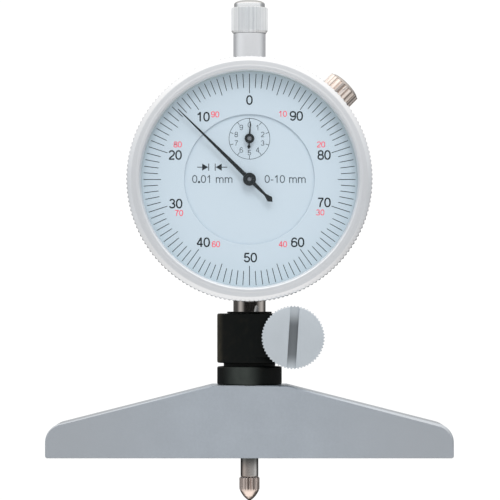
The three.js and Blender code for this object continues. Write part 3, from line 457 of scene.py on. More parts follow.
def round_section(low, high, radius):
    """The section of a slab between two depths whose edges are quarter circles."""
    flat = radius * 1.2
    return rounded([(flat, low), (0, low, radius), (0, high, radius), (flat, high)])


def block(name, low, high, place=None):
    """A box between two corners."""
    low, high = np.asarray(low, float), np.asarray(high, float)
    share = np.array([[(corner >> axis) & 1 for axis in range(3)] for corner in range(8)])
    faces = [(0, 1, 3, 2), (4, 5, 7, 6), (0, 1, 5, 4), (2, 3, 7, 6), (0, 2, 6, 4), (1, 3, 7, 5)]
    return piece(name, low + share * (high - low), faces, place)


def rod(name, radius, low, high, steps, place=None):
    """A plain cylinder about Z between two heights."""
    return turned(name, [(0, low), (radius, low), (radius, high), (0, high)], steps, place)


def combine(made, tools, operation="DIFFERENCE", sharp=30.0):
    """Cuts the tools from a piece, or joins them to it, and deletes them."""
    for tool in tools:
        modifier = made.modifiers.new("combine", "BOOLEAN")
        modifier.operation = operation
        modifier.solver = "EXACT"
        modifier.object = tool
        bpy.context.view_layer.update()
        cut = bpy.data.meshes.new_from_object(made.evaluated_get(bpy.context.evaluated_depsgraph_get()))
        made.modifiers.clear()
        made.data = cut
        bpy.data.objects.remove(tool)
    close(made, sharp, 1e-7)
    return made


# Places: each takes points in a piece's own frame to the object's frame


def facing_back(x=0.0, z=dial_z):
    """Turns the axis Z to +Y, with X kept, about a centre in the dial's plane."""
    return lambda points: np.column_stack([points[:, 0] + x, points[:, 2], z - points[:, 1]])


def in_dial_plane(x=0.0, z=dial_z, turn=0.0):
    """Takes (right, up, depth) to the object's frame, after a turn counter-clockwise as the reader sees it."""
    cosine, sine = math.cos(turn), math.sin(turn)
    return lambda points: np.column_stack([
        x + points[:, 0] * cosine - points[:, 1] * sine,
        points[:, 2],
        z + points[:, 0] * sine + points[:, 1] * cosine])


def along_lock(points):
    """Turns the axis Z to the bezel lock's direction, up and to the right of the dial's centre."""
    cosine, sine = math.cos(lock_angle), math.sin(lock_angle)
    turn = np.array([[cosine, 0, -sine], [0, 1, 0], [sine, 0, cosine]])
    return points @ turn + (0, lock_y, dial_z)


# Knurls


def notches(angle, count, flat_share):
    """A wave that is 0 on a tooth's top and 1 at the bottom of the notch, with a flat share on the top."""
    phase = np.abs((angle * count / (2 * math.pi)) % 1 * 2 - 1)
    return np.clip((1 - phase - flat_share) / (1 - flat_share), 0, 1)


def knurl(count, depth, outer, flat_share=0.0, low_height=-1e9, high_height=1e9):
    """Teeth that reach the outer radius: what stands out past outer less depth times the wave is cut away.

    Past the two heights the cut fades out over a short run.
    """
    fade = 0.25

    def carve(angle, radius, height):
        axial = np.clip((height - low_height) / fade, 0, 1) * np.clip((high_height - height) / fade, 0, 1)
        limit = outer - depth * notches(angle, count, flat_share)
        return axial * np.maximum(radius - limit, 0)
    return carve


# Shaders


class Value:
    """A number that varies over a surface. Each operator adds one Math node to the tree that it belongs to."""

    def __init__(self, owner, socket):
        self.owner = owner
        self.socket = socket

    def math(self, operation, *others):
        return self.owner.value("ShaderNodeMath", {"operation": operation}, [self, *others])

    def __add__(self, other):
        return self.math("ADD", other)

    __radd__ = __add__

    def __mul__(self, other):
        return self.math("MULTIPLY", other)

    __rmul__ = __mul__

    def __sub__(self, other):
        return self.math("SUBTRACT", other)

    def __rsub__(self, other):
        return self.owner.value("ShaderNodeMath", {"operation": "SUBTRACT"}, [other, self])

    def __abs__(self):
        return self.math("ABSOLUTE")

    def between(self, low, high):
        """0 below low and 1 above high, smooth in between."""
        return self.owner.value(
            "ShaderNodeMapRange", {"interpolation_type": "SMOOTHSTEP"},
            {"Value": self, "From Min": low, "From Max": high})

    def until(self, low, high):
        """1 below low and 0 above high, smooth in between."""
        return 1 - self.between(low, high)


class Nodes:
    """The node tree of a material or the world, emptied first."""

    def __init__(self, holder):
        holder.use_nodes = True
        self.tree = holder.node_tree
        self.tree.nodes.clear()

    def node(self, kind, settings=None, inputs=()):
        """Adds a node. Its settings are set first, then the values or links of its sockets."""
        made = self.tree.nodes.new(kind)
        for name, value in (settings or {}).items():
            setattr(made, name, value)
        for key, value in inputs.items() if isinstance(inputs, dict) else enumerate(inputs):
            self.feed(made.inputs[key], value)
        return made

    def value(self, kind, settings, inputs):
        """The first output of a new node, as a number to reckon with."""
        return Value(self, self.node(kind, settings, inputs).outputs[0])

    def feed(self, socket, value):
        """Gives a socket a link or a constant."""
        source = value.socket if isinstance(value, Value) else value
        if isinstance(source, bpy.types.NodeSocket):
            self.tree.links.new(source, socket)
        else:
            socket.default_value = source

    def parts(self, vector):
        """The three numbers of a vector."""
        made = self.node("ShaderNodeSeparateXYZ", {}, [vector])
        return [Value(self, made.outputs[axis]) for axis in range(3)]

    def tinted(self, share, low, high):
        """A colour mixed from two by a share."""
        return self.node("ShaderNodeMix", {"data_type": "RGBA"}, {0: share, 6: low, 7: high}).outputs[2]


finishes = {}


class Finish(Nodes):
    """A material with one surface shader, whose sockets take constants or patterns."""

    def __init__(self, name, colour, metallic=0.0, **constants):
        finishes[name] = bpy.data.materials.new(name)
        super().__init__(finishes[name])
        self.colour = colour
        self.shader = self.node("ShaderNodeBsdfPrincipled")
        self.node("ShaderNodeOutputMaterial", {}, {"Surface": self.shader.outputs[0]})
        self.set(Base_Color=colour, Metallic=metallic, **constants)
        self.place = self.node("ShaderNodeTexCoord").outputs["Object"]
        self.x, self.y, self.z = self.parts(self.scaled([1.0, 1.0, 1.0]))

    def set(self, **sockets):
        """Sets sockets of the surface shader, named with _ for a space."""
        for name, value in sockets.items():
            self.feed(self.shader.inputs[name.replace("_", " ")], value)

    def scaled(self, per_mm):
        """The place on the object, times three numbers per millimetre."""
        factors = [value / MM for value in per_mm]
        return self.node("ShaderNodeVectorMath", {"operation": "MULTIPLY"}, [self.place, factors]).outputs[0]

    def noise(self, per_mm, detail=2.0, roughness=0.5):
        """Cloudy noise from 0 to 1, with so many waves per millimetre, alike or along X, Y and Z."""
        per_mm = per_mm if isinstance(per_mm, tuple) else [per_mm] * 3
        return self.value(
            "ShaderNodeTexNoise", {"noise_dimensions": "3D"},
            {"Vector": self.scaled(per_mm), "Scale": 1.0, "Detail": detail, "Roughness": roughness})

    def lines(self, distance, per_mm, detail=2.0):
        """Noise that varies with one distance alone, as turning marks do."""
        return self.value(
            "ShaderNodeTexNoise", {"noise_dimensions": "1D"},
            {"W": distance * per_mm, "Scale": 1.0, "Detail": detail})

    def from_axis_y(self, x=0.0, z=dial_z):
        """Distance from an axis along Y, in millimetres."""
        across, up = self.x - x, self.z - z
        return (across * across + up * up).math("SQRT")

    def shaded(self, share, low, high):
        """The finish's own colour, darker or lighter by two factors that a share mixes."""
        return self.tinted(share, shade(self.colour, low), shade(self.colour, high))

    def bump(self, height, depth):
        """Relief of so many millimetres where height goes from 0 to 1."""
        made = self.node("ShaderNodeBump", {}, {"Strength": 1.0, "Distance": depth * MM, "Height": height})
        self.set(Normal=made.outputs[0])


def paint(red, green, blue):
    """A colour as seen on a screen, from 0 to 255, as the linear colour that a shader takes."""
    screen = np.array([red, green, blue], float) / 255
    linear = np.where(screen <= 0.04045, screen / 12.92, ((screen + 0.055) / 1.055) ** 2.4)
    return (*linear.tolist(), 1.0)


def shade(colour, factor):
    """A colour made darker or lighter."""
    return (*[part * factor for part in colour[:3]], 1.0)


# Finishes: each of these adds its material to the finishes


def ground_steel():
    """Surface-ground tool steel: scratches along the base, faint clouds, ends painted darker round a painted
    highlight.
    """
    finish = Finish("ground_steel", paint(184, 193, 203), 1.0)
    scratches = finish.noise((0.12, 6.0, 6.0), detail=4.0, roughness=0.6)
    clouds = finish.noise(0.12, detail=3.0)
    mottle = finish.noise(1.6, detail=3.0, roughness=0.7)
    share = clouds * 0.5 + mottle * 0.5
    middle = finish.shaded(share.between(0.2, 0.8), 0.94, 1.06)
    # The ends are painted a little darker and greyer as painted shade, which leaves a broad painted highlight
    # across the middle
    ends = abs(finish.x).between(8.0, 46.0)
    finish.set(Base_Color=finish.tinted(ends, middle, paint(181, 188, 196)))
    finish.set(Roughness=0.34 + scratches * 0.12 + clouds * 0.05)
    finish.bump(scratches, 0.004)


def black_oxide():
    """Blackened steel: nearly black, with a faint brown cloudiness, a satin sheen, and painted reflections on
    the flange's front and left edge.
    """
    finish = Finish("black_oxide", paint(12, 14, 15), Specular_IOR_Level=0.09)
    clouds = finish.noise(0.5, detail=4.0, roughness=0.6)
    grain = finish.noise(9.0)
    # A lighter patch on the front of the flange, broken up by the clouds: a painted reflection
    painted_flange_sheen = finish.x.between(-7.0, -3.0) * finish.x.until(-1.0, 3.5) * (0.6 + clouds * 0.5)
    flange = finish.z.until(flange_z - 0.1, flange_z + 0.1)
    # A brownish strip down the collar's left edge above the flange, broken up by the clouds: a painted
    # reflection
    edge = finish.x.until(-7.8, -6.2) * (1 - flange) * clouds
    plain = finish.tinted(clouds.between(0.45, 0.85), paint(6, 9, 9), paint(17, 17, 14))
    plain = finish.tinted(edge, plain, paint(70, 66, 54))
    finish.set(Base_Color=finish.tinted(flange * painted_flange_sheen, plain, paint(50, 55, 53)))
    finish.set(Roughness=0.34 + clouds * 0.16 + grain * 0.08)
    finish.bump(grain, 0.004)


def satin_nickel_knob():
    """Satin nickel plate on the clamp screw, with fine circular marks on its face and painted shade in its
    slot.
    """
    finish = Finish("satin_nickel_knob", paint(210, 219, 227), 1.0)
    right, up = finish.x - knob_x, finish.z - knob_z
    marks = finish.lines(finish.from_axis_y(knob_x, knob_z), 9.0)
    across = right * math.cos(knob_slot_lean) - up * math.sin(knob_slot_lean)
    in_slot = abs(across).until(knob_slot_width / 2, knob_slot_width / 2 + 0.04)
    in_slot = in_slot * finish.y.between(knob_front + 0.1, knob_front + 0.5)
    in_slot = in_slot * finish.y.until(knob_front + 1.5, knob_front + 1.7)
    plate = finish.shaded(finish.noise(0.3, detail=3.0), 0.96, 1.03)
    # Painted shade in the slot: darkest in its middle and lighter towards its ends
    slot = finish.shaded(abs(up + 0.6).between(3.2, 7.4), 0.33, 0.9)
    finish.set(Base_Color=finish.tinted(in_slot, plate, slot))
    finish.set(Roughness=0.32 + marks * 0.14)
    finish.bump(marks, 0.003)


def satin_nickel_cap():
    """Satin nickel plate on the cap: painted reflection stripes on its band, and painted light and shade on
    its dome.
    """
    finish = Finish("satin_nickel_cap", paint(245, 248, 251), 1.0)
    grain = finish.noise(5.0, detail=3.0)
    # Stripes on the band that vary with X alone: painted reflections of its teeth
    ridges = finish.lines(finish.x, 3.2, detail=1.0).between(0.38, 0.6)
    band = finish.shaded(ridges, 0.86, 1.05)
    dome_foot = cap_high - cap_dome_height
    dome = finish.z.between(dome_foot - 0.1, dome_foot + 0.1)
    # The dome's wall is painted with a lighter middle as a painted reflection, and darker sides as painted
    # shade
    wall = finish.shaded(abs(finish.x + 0.1).until(2.6, 3.3), 0.6, 0.92)
    # The dome's crown is painted dark as painted shade
    crown = finish.z.between(cap_high - 1.0, cap_high - 0.7)
    crowned = finish.tinted(crown, wall, shade(finish.colour, 0.42))
    finish.set(Base_Color=finish.tinted(dome, band, crowned))
    finish.set(Roughness=0.3 - dome * 0.14 + grain * 0.1)
    finish.bump(grain, 0.003)


def turned_aluminium(name, colour, low, high):
    """Satin aluminium with fine turning marks round the dial's axis, painted light lower down and a painted
    highlight on the lip.
    """
    finish = Finish(name, colour, 1.0)
    distance = finish.from_axis_y()
    marks = finish.lines(distance + finish.y * 0.7, 7.0, detail=3.0)
    clouds = finish.noise(0.2, detail=3.0)
    height = finish.z.between(dial_z - bezel_radius * 0.9, dial_z + bezel_radius * 0.9)
    # Painted light: the satin is lighter towards the bottom and darker towards the top, mixed with faint
    # clouds
    satin = finish.shaded(height * 0.8 + clouds * 0.2, 1.12, 0.98)
    # A painted highlight on the lip
    lip = distance.until(bezel_radius - 2.55, bezel_radius - 2.35)
    # The bevel is painted light at the bottom and dark at the top as painted light and shade
    bevel = distance.until(bezel_radius - 3.2, bezel_radius - 2.95)
    lipped = finish.tinted(lip, satin, shade(colour, 1.1))
    finish.set(Base_Color=finish.tinted(bevel, lipped, finish.shaded(height, 1.2, 0.9)))
    finish.set(Roughness=low + marks * (high - low))
    finish.bump(marks, 0.003)


def spindle_steel():
    """Ground spindle steel, with painted shade on its left and a painted shadow where it leaves the base."""
    finish = Finish("spindle_steel", paint(190, 186, 182), 1.0)
    marks = finish.lines(finish.z, 10.0, detail=3.0)
    # Painted shade: darker and warmer on the left, lighter on the right
    lit = finish.tinted(finish.x.between(-2.0, 2.0), paint(176, 164, 157), paint(214, 212, 210))
    # Painted shadow where the spindle leaves the base
    painted_shadow_under_base = finish.z.between(base_low - 3.6, base_low)
    finish.set(Base_Color=finish.tinted(painted_shadow_under_base, lit, paint(100, 102, 100)))
    finish.set(Roughness=0.12 + marks * 0.1)


def contact_steel():
    """Hardened contact point: a fluted band with painted reflection stripes, and the tip of its nose darkened
    nearly to black.
    """
    finish = Finish("contact_steel", paint(236, 220, 212), 1.0)
    grain = finish.noise(6.0, detail=3.0)
    # Stripes on the band that vary with X alone: painted reflections of its flutes
    painted_flute_reflections = finish.lines(finish.x, 2.6, detail=1.0).between(0.4, 0.54)
    band = finish.z.between(contact_nose_height, contact_nose_height + 0.2)
    banded = finish.tinted(band, finish.shaded(grain, 0.95, 1.1), finish.shaded(painted_flute_reflections, 0.3, 0.85))
    # The tip of the nose is darkened nearly to black
    finish.set(Base_Color=finish.tinted(finish.z.until(0.3, 0.5), banded, shade(finish.colour, 0.06)))
    finish.set(Roughness=0.15 + grain * 0.16)


def bright_nickel():
    """Bright nickel plate with a warm tint, dark lines of painted shade in the hollows on the lock's side, and
    its end painted dark as shade.
    """
    finish = Finish("bright_nickel", paint(234, 224, 218), 0.8)
    up = finish.z - dial_z
    across = (finish.x - up) * math.sqrt(0.5)
    along = (finish.x + up) * math.sqrt(0.5)
    # Dark lines on the lock's side: painted shade in its hollows, left out at its upper left end
    ridges = finish.lines(across, 1.0, detail=1.0).between(0.4, 0.54) + across.until(-4.0, -3.0)
    # The end of the lock's head is painted dark as painted shade along its edge
    end = along.between(lock_head_outer - 0.25, lock_head_outer - 0.05)
    finish.set(Base_Color=finish.tinted(end, finish.shaded(ridges, 0.48, 1.06), shade(finish.colour, 0.5)))
    finish.set(Roughness=0.12 + finish.noise(5.0) * 0.12)


def grained(name, colour, pattern, metallic=0.0, roughness=None, shades=None, relief=None, **constants):
    """A finish with one fine pattern, which may drive its roughness (a base and a gain), shade and relief."""
    finish = Finish(name, colour, metallic, **constants)
    grain = pattern(finish)
    if roughness:
        finish.set(Roughness=roughness[0] + grain * roughness[1])
    if shades:
        finish.set(Base_Color=finish.shaded(grain, *shades))
    if relief:
        finish.bump(grain, relief)


ground_steel()
black_oxide()
satin_nickel_knob()
satin_nickel_cap()
turned_aluminium("bezel_aluminium", paint(221, 225, 230), 0.3, 0.42)
turned_aluminium("case_aluminium", paint(222, 224, 227), 0.34, 0.5)
spindle_steel()
contact_steel()
bright_nickel()
grained("sleeve_aluminium", paint(236, 239, 243), lambda finish: finish.lines(finish.z, 8.0, detail=3.0),
        metallic=1.0, roughness=(0.27, 0.14), relief=0.003)
grained("polished_steel", paint(188, 182, 177), lambda finish: finish.lines(finish.z, 12.0, detail=3.0),
        metallic=1.0, roughness=(0.035, 0.03))
grained("machined_brass", paint(202, 166, 92),
        lambda finish: finish.lines(finish.from_axis_y(), 6.0, detail=3.0),
        metallic=1.0, roughness=(0.24, 0.16), shades=(0.92, 1.06))
grained("spring_steel", paint(150, 154, 162), lambda finish: finish.noise(4.0),
        metallic=1.0, roughness=(0.22, 0.14))
grained("dial_paint", paint(187, 202, 214), lambda finish: finish.noise(4.0, detail=3.0),
        roughness=(0.58, 0.08), shades=(0.985, 1.01), relief=0.002, Specular_IOR_Level=0.3)
grained("spacer_paint", paint(196, 208, 206), lambda finish: finish.noise(3.0), roughness=(0.42, 0.12))
grained("pointer_black", paint(10, 12, 14), lambda finish: finish.noise(5.0),
        roughness=(0.26, 0.12), Specular_IOR_Level=0.16)
inks = {"black_ink": paint(26, 30, 34), "grey_ink": paint(66, 74, 82), "red_ink": paint(240, 60, 84)}
for name, colour in inks.items():
    grained(name, colour, lambda finish: finish.noise(6.0),
            shades=(0.9, 1.15), Roughness=0.55, Specular_IOR_Level=0.1)
Finish("clear_crystal", (0.16, 0.2, 0.22, 1.0), Roughness=0.05, Alpha=0.05, IOR=1.5)

# Measuring base and what it carries


def measuring_base():
    """The base: its outline in the front plane, carried through its width with chamfered edges.

    The chamfer is narrow at the foot and wider towards the right end.
    """
    end = span("base", X)[1]
    front, back = span("base", Y)
    shoulder = base_low + base_end_height
    outline = rounded([
        (-end, base_low, base_foot_radius), (end, base_low, base_foot_radius),
        (end, shoulder, base_shoulder_radius), (base_top_half, base_high, base_top_corner_radius),
        (-base_top_half, base_high, base_top_corner_radius), (-end, shoulder, base_shoulder_radius)], 24)
    section = edge_section(front, back, base_chamfer, base_edge_round)
    above = np.clip((outline[:, 1] - base_low) / base_end_height, 0, 1)
    right_share = 1 - base_chamfer_right_start
    right = np.clip(outline[:, 0] / end - base_chamfer_right_start, 0, right_share) / right_share
    shares = base_chamfer_foot_share + above * (1 - base_chamfer_foot_share)
    shares = shares + right * above * (base_chamfer_right_share - 1)
    body = slab("measuring_base", outline, section, in_dial_plane(0, 0), shares)
    mouth = spindle_hole_radius + spindle_hole_chamfer + overrun
    hole = turned("hole", [
        (0, base_low - overrun), (mouth, base_low - overrun),
        (spindle_hole_radius, base_low + spindle_hole_chamfer), (spindle_hole_radius, base_high),
        (0, base_high)], 96)
    socket = rod("socket", socket_radius, base_high - socket_depth, base_high + overrun, 96)
    set_hole = rod("set_hole", set_screw_radius, 0, back + overrun, 48,
                   facing_back(0, base_high - set_screw_drop))
    return combine(body, [hole, socket, set_hole])


def disc(node, name, rounds, inner=0.0, z=dial_z, steps=256):
    """A disc or ring that faces the reader, as wide and as deep as its solid.

    The rounds are those of its corners, from the inner front one outwards and back.
    """
    outer = half_of(node)
    front, back = span(node, Y)
    corners = zip((inner, outer, outer, inner), (front, front, back, back), rounds)
    return turned(name, rounded(corners, 5), steps, facing_back(0, z))


def collar_set_screw():
    """The set screw behind: a short threaded cup with a hexagon socket."""
    back = span("collar_set_screw", Y)[1]
    z = centre_of("collar_set_screw", Z)
    body = disc("collar_set_screw", "set_screw", (0, 0.25, soft, 0), z=z, steps=48)
    low, high = back - set_screw_socket_depth, back + overrun
    return combine(body, [rod("socket", set_screw_socket_radius, low, high, 6, facing_back(0, z))])


def split_collar():
    """The collar: flange, neck and clamp turned in one, with slit ears for the clamp screw."""
    spigot = socket_radius - seat_gap
    low, high = span("collar", Z)
    flange_low = base_high + seat_gap
    clamp_low = flange_z + groove_height
    edge = collar_edge_round
    body = turned("split_collar", rounded([
        (collar_throat_radius, low, fine), (spigot, low, soft), (spigot, flange_low),
        (collar_radius, flange_low, edge), (collar_radius, flange_z, edge), (neck_radius, flange_z, small),
        (neck_radius, clamp_low, small), (collar_radius, clamp_low, edge), (collar_radius, high, edge),
        (collar_bore_radius, high, soft), (collar_bore_radius, flange_low),
        (collar_throat_radius, flange_low)]), 160)
    reach = span("collar", X)[1]
    ear_low = high - ear_height
    ear = slab("ear", rounded([
        (0, ear_low), (reach, ear_low, ear_corner_radius), (reach, high, ear_corner_radius), (0, high)], 14),
        round_section(-collar_radius, collar_radius, edge), in_dial_plane(0, 0))
    combine(body, [ear], "UNION")
    hole_place = facing_back(knob_x, knob_z)
    return combine(body, [
        rod("bore", collar_bore_radius, flange_z, high + overrun, 96),
        block("slit", (0, -clamp_slit / 2, flange_z), (reach + overrun, clamp_slit / 2, high + overrun)),
        rod("pass_hole", screw_shank_radius + loose_gap, -collar_radius - overrun, 0, 48, hole_place),
        rod("thread_hole", screw_shank_radius + running_gap, 0, collar_radius + overrun, 48, hole_place)])


def clamp_bush():
    """The split bush round the stem, with its small flange over the collar."""
    outer = collar_bore_radius - running_gap
    inner = stem_radius + running_gap
    rim = half_of("clamp_bush", Y)
    low, high = span("clamp_bush", Z)
    flange = high - bush_flange_height
    body = turned("stem_bush", rounded([
        (inner, low, fine), (outer, low, fine), (outer, flange), (rim, flange, small), (rim, high, small),
        (inner, high, fine)], 5), 128)
    slit = block("slit", (0, -clamp_slit / 2, low - overrun), (rim + overrun, clamp_slit / 2, high + overrun))
    return combine(body, [slit])


def clamp_screw():
    """The thumb screw: a toothed head on a plain shank, with a coin slot.

    The slot's floor comes forward by the square of the share of the head's radius.
    """
    back = knob_front + knob_thickness
    profile = rounded([
        (0, knob_front), (knob_radius, knob_front, knob_edge_round), (knob_radius, back, broad),
        (screw_shank_radius, back), (screw_shank_radius, knob_end, shank_end_round), (0, knob_end)], 7)
    carve = knurl(knob_teeth, knob_tooth_depth, knob_radius)
    body = turned("thumb_screw", profile, knob_teeth * 8, facing_back(knob_x, knob_z), carve, 24)
    half, above = knob_slot_width / 2, knob_front - overrun
    along = np.linspace(1, -1, 25) * (knob_radius + overrun)
    floor = knob_front + knob_slot_depth - knob_slot_rise * (along / knob_radius) ** 2
    outline = np.vstack([[(along[-1], above), (along[0], above)], np.column_stack([along, floor])])
    turn = in_dial_plane(knob_x, knob_z, -knob_slot_lean)
    slot = slab("slot", outline, [(0, -half), (0, half)], lambda points: turn(points[:, [2, 0, 1]]))
    return combine(body, [slot], sharp=24)


# Stem, sleeve, cap and spindle


def stem():
    """The stem: a plain tube with chamfered ends."""
    low, high = span("stem", Z)
    return turned("polished_stem", rounded([
        (stem_bore_radius, low, fine), (stem_radius - stem_chamfer, low, fine),
        (stem_radius, low + stem_chamfer, fine), (stem_radius, high, fine),
        (stem_bore_radius, high, fine)], 4), 128)


def upper_sleeve():
    """The sleeve above the case, with a neck that the cap screws on."""
    low, high = span("upper_sleeve", Z)
    shoulder, seat = high - sleeve_neck_length, low + sleeve_seat_length
    return turned("satin_sleeve", rounded([
        (stem_bore_radius, low), (stem_radius, low, fine), (stem_radius, shoulder, small),
        (sleeve_neck_radius, shoulder), (sleeve_neck_radius, high, soft), (sleeve_bore_radius, high),
        (sleeve_bore_radius, seat), (stem_bore_radius, seat)], 5), 128)


def top_cap():
    """The knurled cap: a chamfered foot, a finely toothed band and a low dome behind a shallow step.

    At angle t the dome's point is its radius times the cosine's power, and its rise times the sine.
    """
    band_low, band_high = cap_low + cap_foot_height, cap_high - cap_dome_height
    bore = sleeve_neck_radius + seat_gap
    outer = rounded([
        (bore, cap_low), (stem_radius, cap_low, fine), (cap_radius, band_low, small),
        (cap_radius, band_high - cap_step, 0.12), (cap_radius - cap_lip_inset, band_high, crisp),
        (cap_dome_radius, band_high)], 5)
    rise = np.linspace(0, math.pi / 2, 16)
    wall = band_high + cap_dome_wall
    dome_radius = cap_dome_radius * np.cos(rise) ** cap_dome_power
    dome = np.column_stack([dome_radius, wall + (cap_high - wall) * np.sin(rise)])
    roof = cap_high - cap_roof
    shell = np.vstack([[(0, roof), (bore, roof)], outer, dome[:-1], [(0, cap_high)]])
    carve = knurl(cap_teeth, cap_tooth_depth, cap_radius, cap_tooth_flat, band_low - cap_knurl_below,
                  band_high + cap_knurl_above)
    return turned("knurled_cap", shell, cap_teeth * 8, None, carve, 24)


def spindle():
    """The spindle: a ground rod with a rack cut on its left side and a hole for the contact's stub.

    Its left side is cut off at a flat, and within the rack the flat goes in by the tooth wave of the height.
    """
    low, high = span("spindle", Z)
    hole = contact_stub_radius + seat_gap
    hole_top = span("contact_point", Z)[1] + loose_gap
    rack_z = centre_of("rack_pinion", Z)
    rack_low = rack_z - (rack_teeth_below + 0.5) * rack_pitch
    rack_high = rack_z + (rack_teeth_above + 0.5) * rack_pitch
    rows = np.arange(rack_low, rack_high, rack_pitch / 8)
    head = rounded([
        (0, hole_top), (hole, hole_top), (hole, low, crisp), (spindle_radius, low, soft),
        (spindle_radius, rack_low)], 5)
    tail = rounded([(spindle_radius, rack_high), (spindle_radius, high, broad), (0, high)], 5)
    profile = np.vstack([head, np.column_stack([np.full(len(rows), spindle_radius), rows]), tail])

    def rack(angle, radius, height):
        inside = (height > rack_low) & (height < rack_high)
        wave = np.abs(((height - rack_z) / rack_pitch) % 1 * 2 - 1)
        depth = np.clip((rack_tooth_top - wave) / rack_tooth_slope, 0, 1) * rack_tooth_depth
        limit = np.where(inside, spindle_radius - rack_flat_depth - depth, radius)
        reach = -radius * np.cos(angle)
        return np.where(reach > limit, radius - limit / np.maximum(-np.cos(angle), 1e-6), 0)

    return turned("spindle_rod", profile, 96, None, rack)


def contact_point():
    """The contact: a fluted band over a rounded nose, on a stub that screws into the spindle.

    The nose follows measured shares of its height and of the contact's radius. Its rows lie closer at the tip.
    """
    rows = np.linspace(0, 1, 30) ** 1.4 * contact_nose_height
    radius = np.interp(rows, contact_nose_heights * contact_nose_height, contact_nose_radii * contact_radius)
    nose = np.column_stack([radius, rows])
    top = contact_nose_height + contact_band_height
    stub_top = top + contact_stub_length
    band = rounded([
        (nose[-1, 0], contact_nose_height), (contact_radius, contact_nose_height + contact_shoulder, 0.08),
        (contact_radius, top - contact_shoulder, 0.12), (contact_radius - contact_shoulder, top, 0.08),
        (contact_stub_radius, top, crisp), (contact_stub_radius, stub_top, small), (0, stub_top)], 4)
    carve = knurl(contact_grooves, contact_groove_depth, contact_radius, contact_groove_flat)
    return turned("contact_tip", np.vstack([nose[:-1], band]), contact_grooves * 12, None, carve, 28)


# Case and back cover


def case_body():
    """The case: a ring with a groove for the bezel's wire, lugs, and holes for the tubes and screws."""
    bore = case_radius - case_wall
    front, back = span("case_body", Y)
    floor = case_radius - wire_groove_depth
    low, high = wire_groove
    body = turned("case_shell", rounded([
        (bore, front, soft), (case_radius, front, broad), (case_radius, low, crisp), (floor, low),
        (floor, high), (case_radius, high, crisp), (case_radius, back, soft), (bore, back, soft)], 5),
        256, facing_back())
    lug_front = span("front_plate", Y)[1] + seat_gap
    lugs = [
        block("lug", (bore - lug_depth, -width / 2, lug_front), (bore + loose_gap, width / 2, back),
              in_dial_plane(turn=turn))
        for turn, width in zip(quarter_turns, (side_lug_width, lug_width) * 2)]
    combine(body, lugs, "UNION")
    reach = case_radius + overrun
    tube_hole = rod("tube_hole", stem_radius + seat_gap, dial_z - reach, dial_z + reach, 96)
    lock_hole = rod("lock_hole", screw_shank_radius + loose_gap / 2, 0, reach, 48, along_lock)
    screw_holes = [
        rod("screw_hole", screw_radius + seat_gap, back - screw_hole_depth, back + overrun, 24,
            facing_back(*centre))
        for centre in screw_centres]
    return combine(body, [tube_hole, lock_hole, *screw_holes])


def back_cover():
    """The back cover: a disc with a rounded edge, a shallow turned bead and four countersunk holes."""
    front, back = span("back_cover", Y)
    radius = half_of("back_cover")
    bead_inner, bead_outer = cover_bead_radius - cover_bead_width, cover_bead_radius + cover_bead_width
    body = turned("rear_cover", rounded([
        (0, front), (radius, front, fine), (radius, back, cover_edge_round), (bead_outer, back, broad),
        (cover_bead_radius, back - cover_bead_depth, broad), (bead_inner, back, broad), (0, back)], 7),
        256, facing_back())
    mouth = screw_head_radius + seat_gap
    hole = [
        (0, front - overrun), (screw_hole_radius, front - overrun),
        (screw_hole_radius, back - screw_head_height), (mouth, back), (mouth, back + overrun),
        (0, back + overrun)]
    return combine(body, [turned("hole", hole, 48, facing_back(*centre)) for centre in screw_centres])


def cover_screw(number, centre):
    """One of the back cover's countersunk screws, counted from 1, each slot turned a little further."""
    front, back = span("cover_screw_1", Y)[0], span("back_cover", Y)[1]
    top = back - screw_head_sunk
    screw = turned(f"rear_screw_{number}", rounded([
        (0, front), (screw_radius, front, soft), (screw_radius, back - screw_head_height + seat_gap),
        (screw_head_radius, top - screw_head_edge, screw_head_edge),
        (screw_head_radius - screw_head_bevel, top, crisp), (0, top)], 4), 64, facing_back(*centre))
    half, reach = screw_slot_width / 2, screw_head_radius + screw_slot_overrun
    turn = math.pi / 4 + (number - 1) * screw_slot_turn
    slot = block("slot", (-reach, -half, back - screw_slot_depth), (reach, half, back + overrun),
                 in_dial_plane(*centre, turn))
    return combine(screw, [slot])


# Bezel, crystal and dial


def bezel():
    """The bezel: a bevelled lip, a sloping band and a knurled rim, with a skirt that turns on the case."""
    front, back = span("bezel", Y)
    lip_outer = bezel_radius - band_width
    lip_inner = lip_outer - lip_width
    lip_back = front + lip_thickness
    skirt_outer = bezel_radius - skirt_step
    skirt_inner = skirt_outer - skirt_wall
    groove = skirt_inner + skirt_groove_depth
    rim_front = front + rim_front_drop
    rim_back = rim_front + rim_thickness
    rim_edge = bezel_radius - rim_chamfer
    low, high = wire_groove
    profile = rounded([
        (lip_inner, lip_back), (lip_inner, front + lip_bevel, small),
        (lip_inner + lip_bevel_width, front, 0.25), (lip_outer, front, 0.12),
        (lip_outer + 0.25, front + band_depth, soft),
        (bezel_radius - rim_slope_width, front + band_depth + band_slope, 0.5),
        (rim_edge + 0.1, front + rim_slope_end, 0.25), (bezel_radius, rim_front, small),
        (bezel_radius, rim_back - rim_chamfer, small), (rim_edge, rim_back, fine),
        (skirt_outer, rim_back, soft), (skirt_outer, back, soft), (skirt_inner, back, fine),
        (skirt_inner, high), (groove, high), (groove, low), (skirt_inner, low), (skirt_inner, lip_back)])
    carve = knurl(bezel_teeth, bezel_tooth_depth, bezel_radius)
    return turned("knurled_bezel", profile, bezel_teeth * 6, facing_back(), carve, 26)


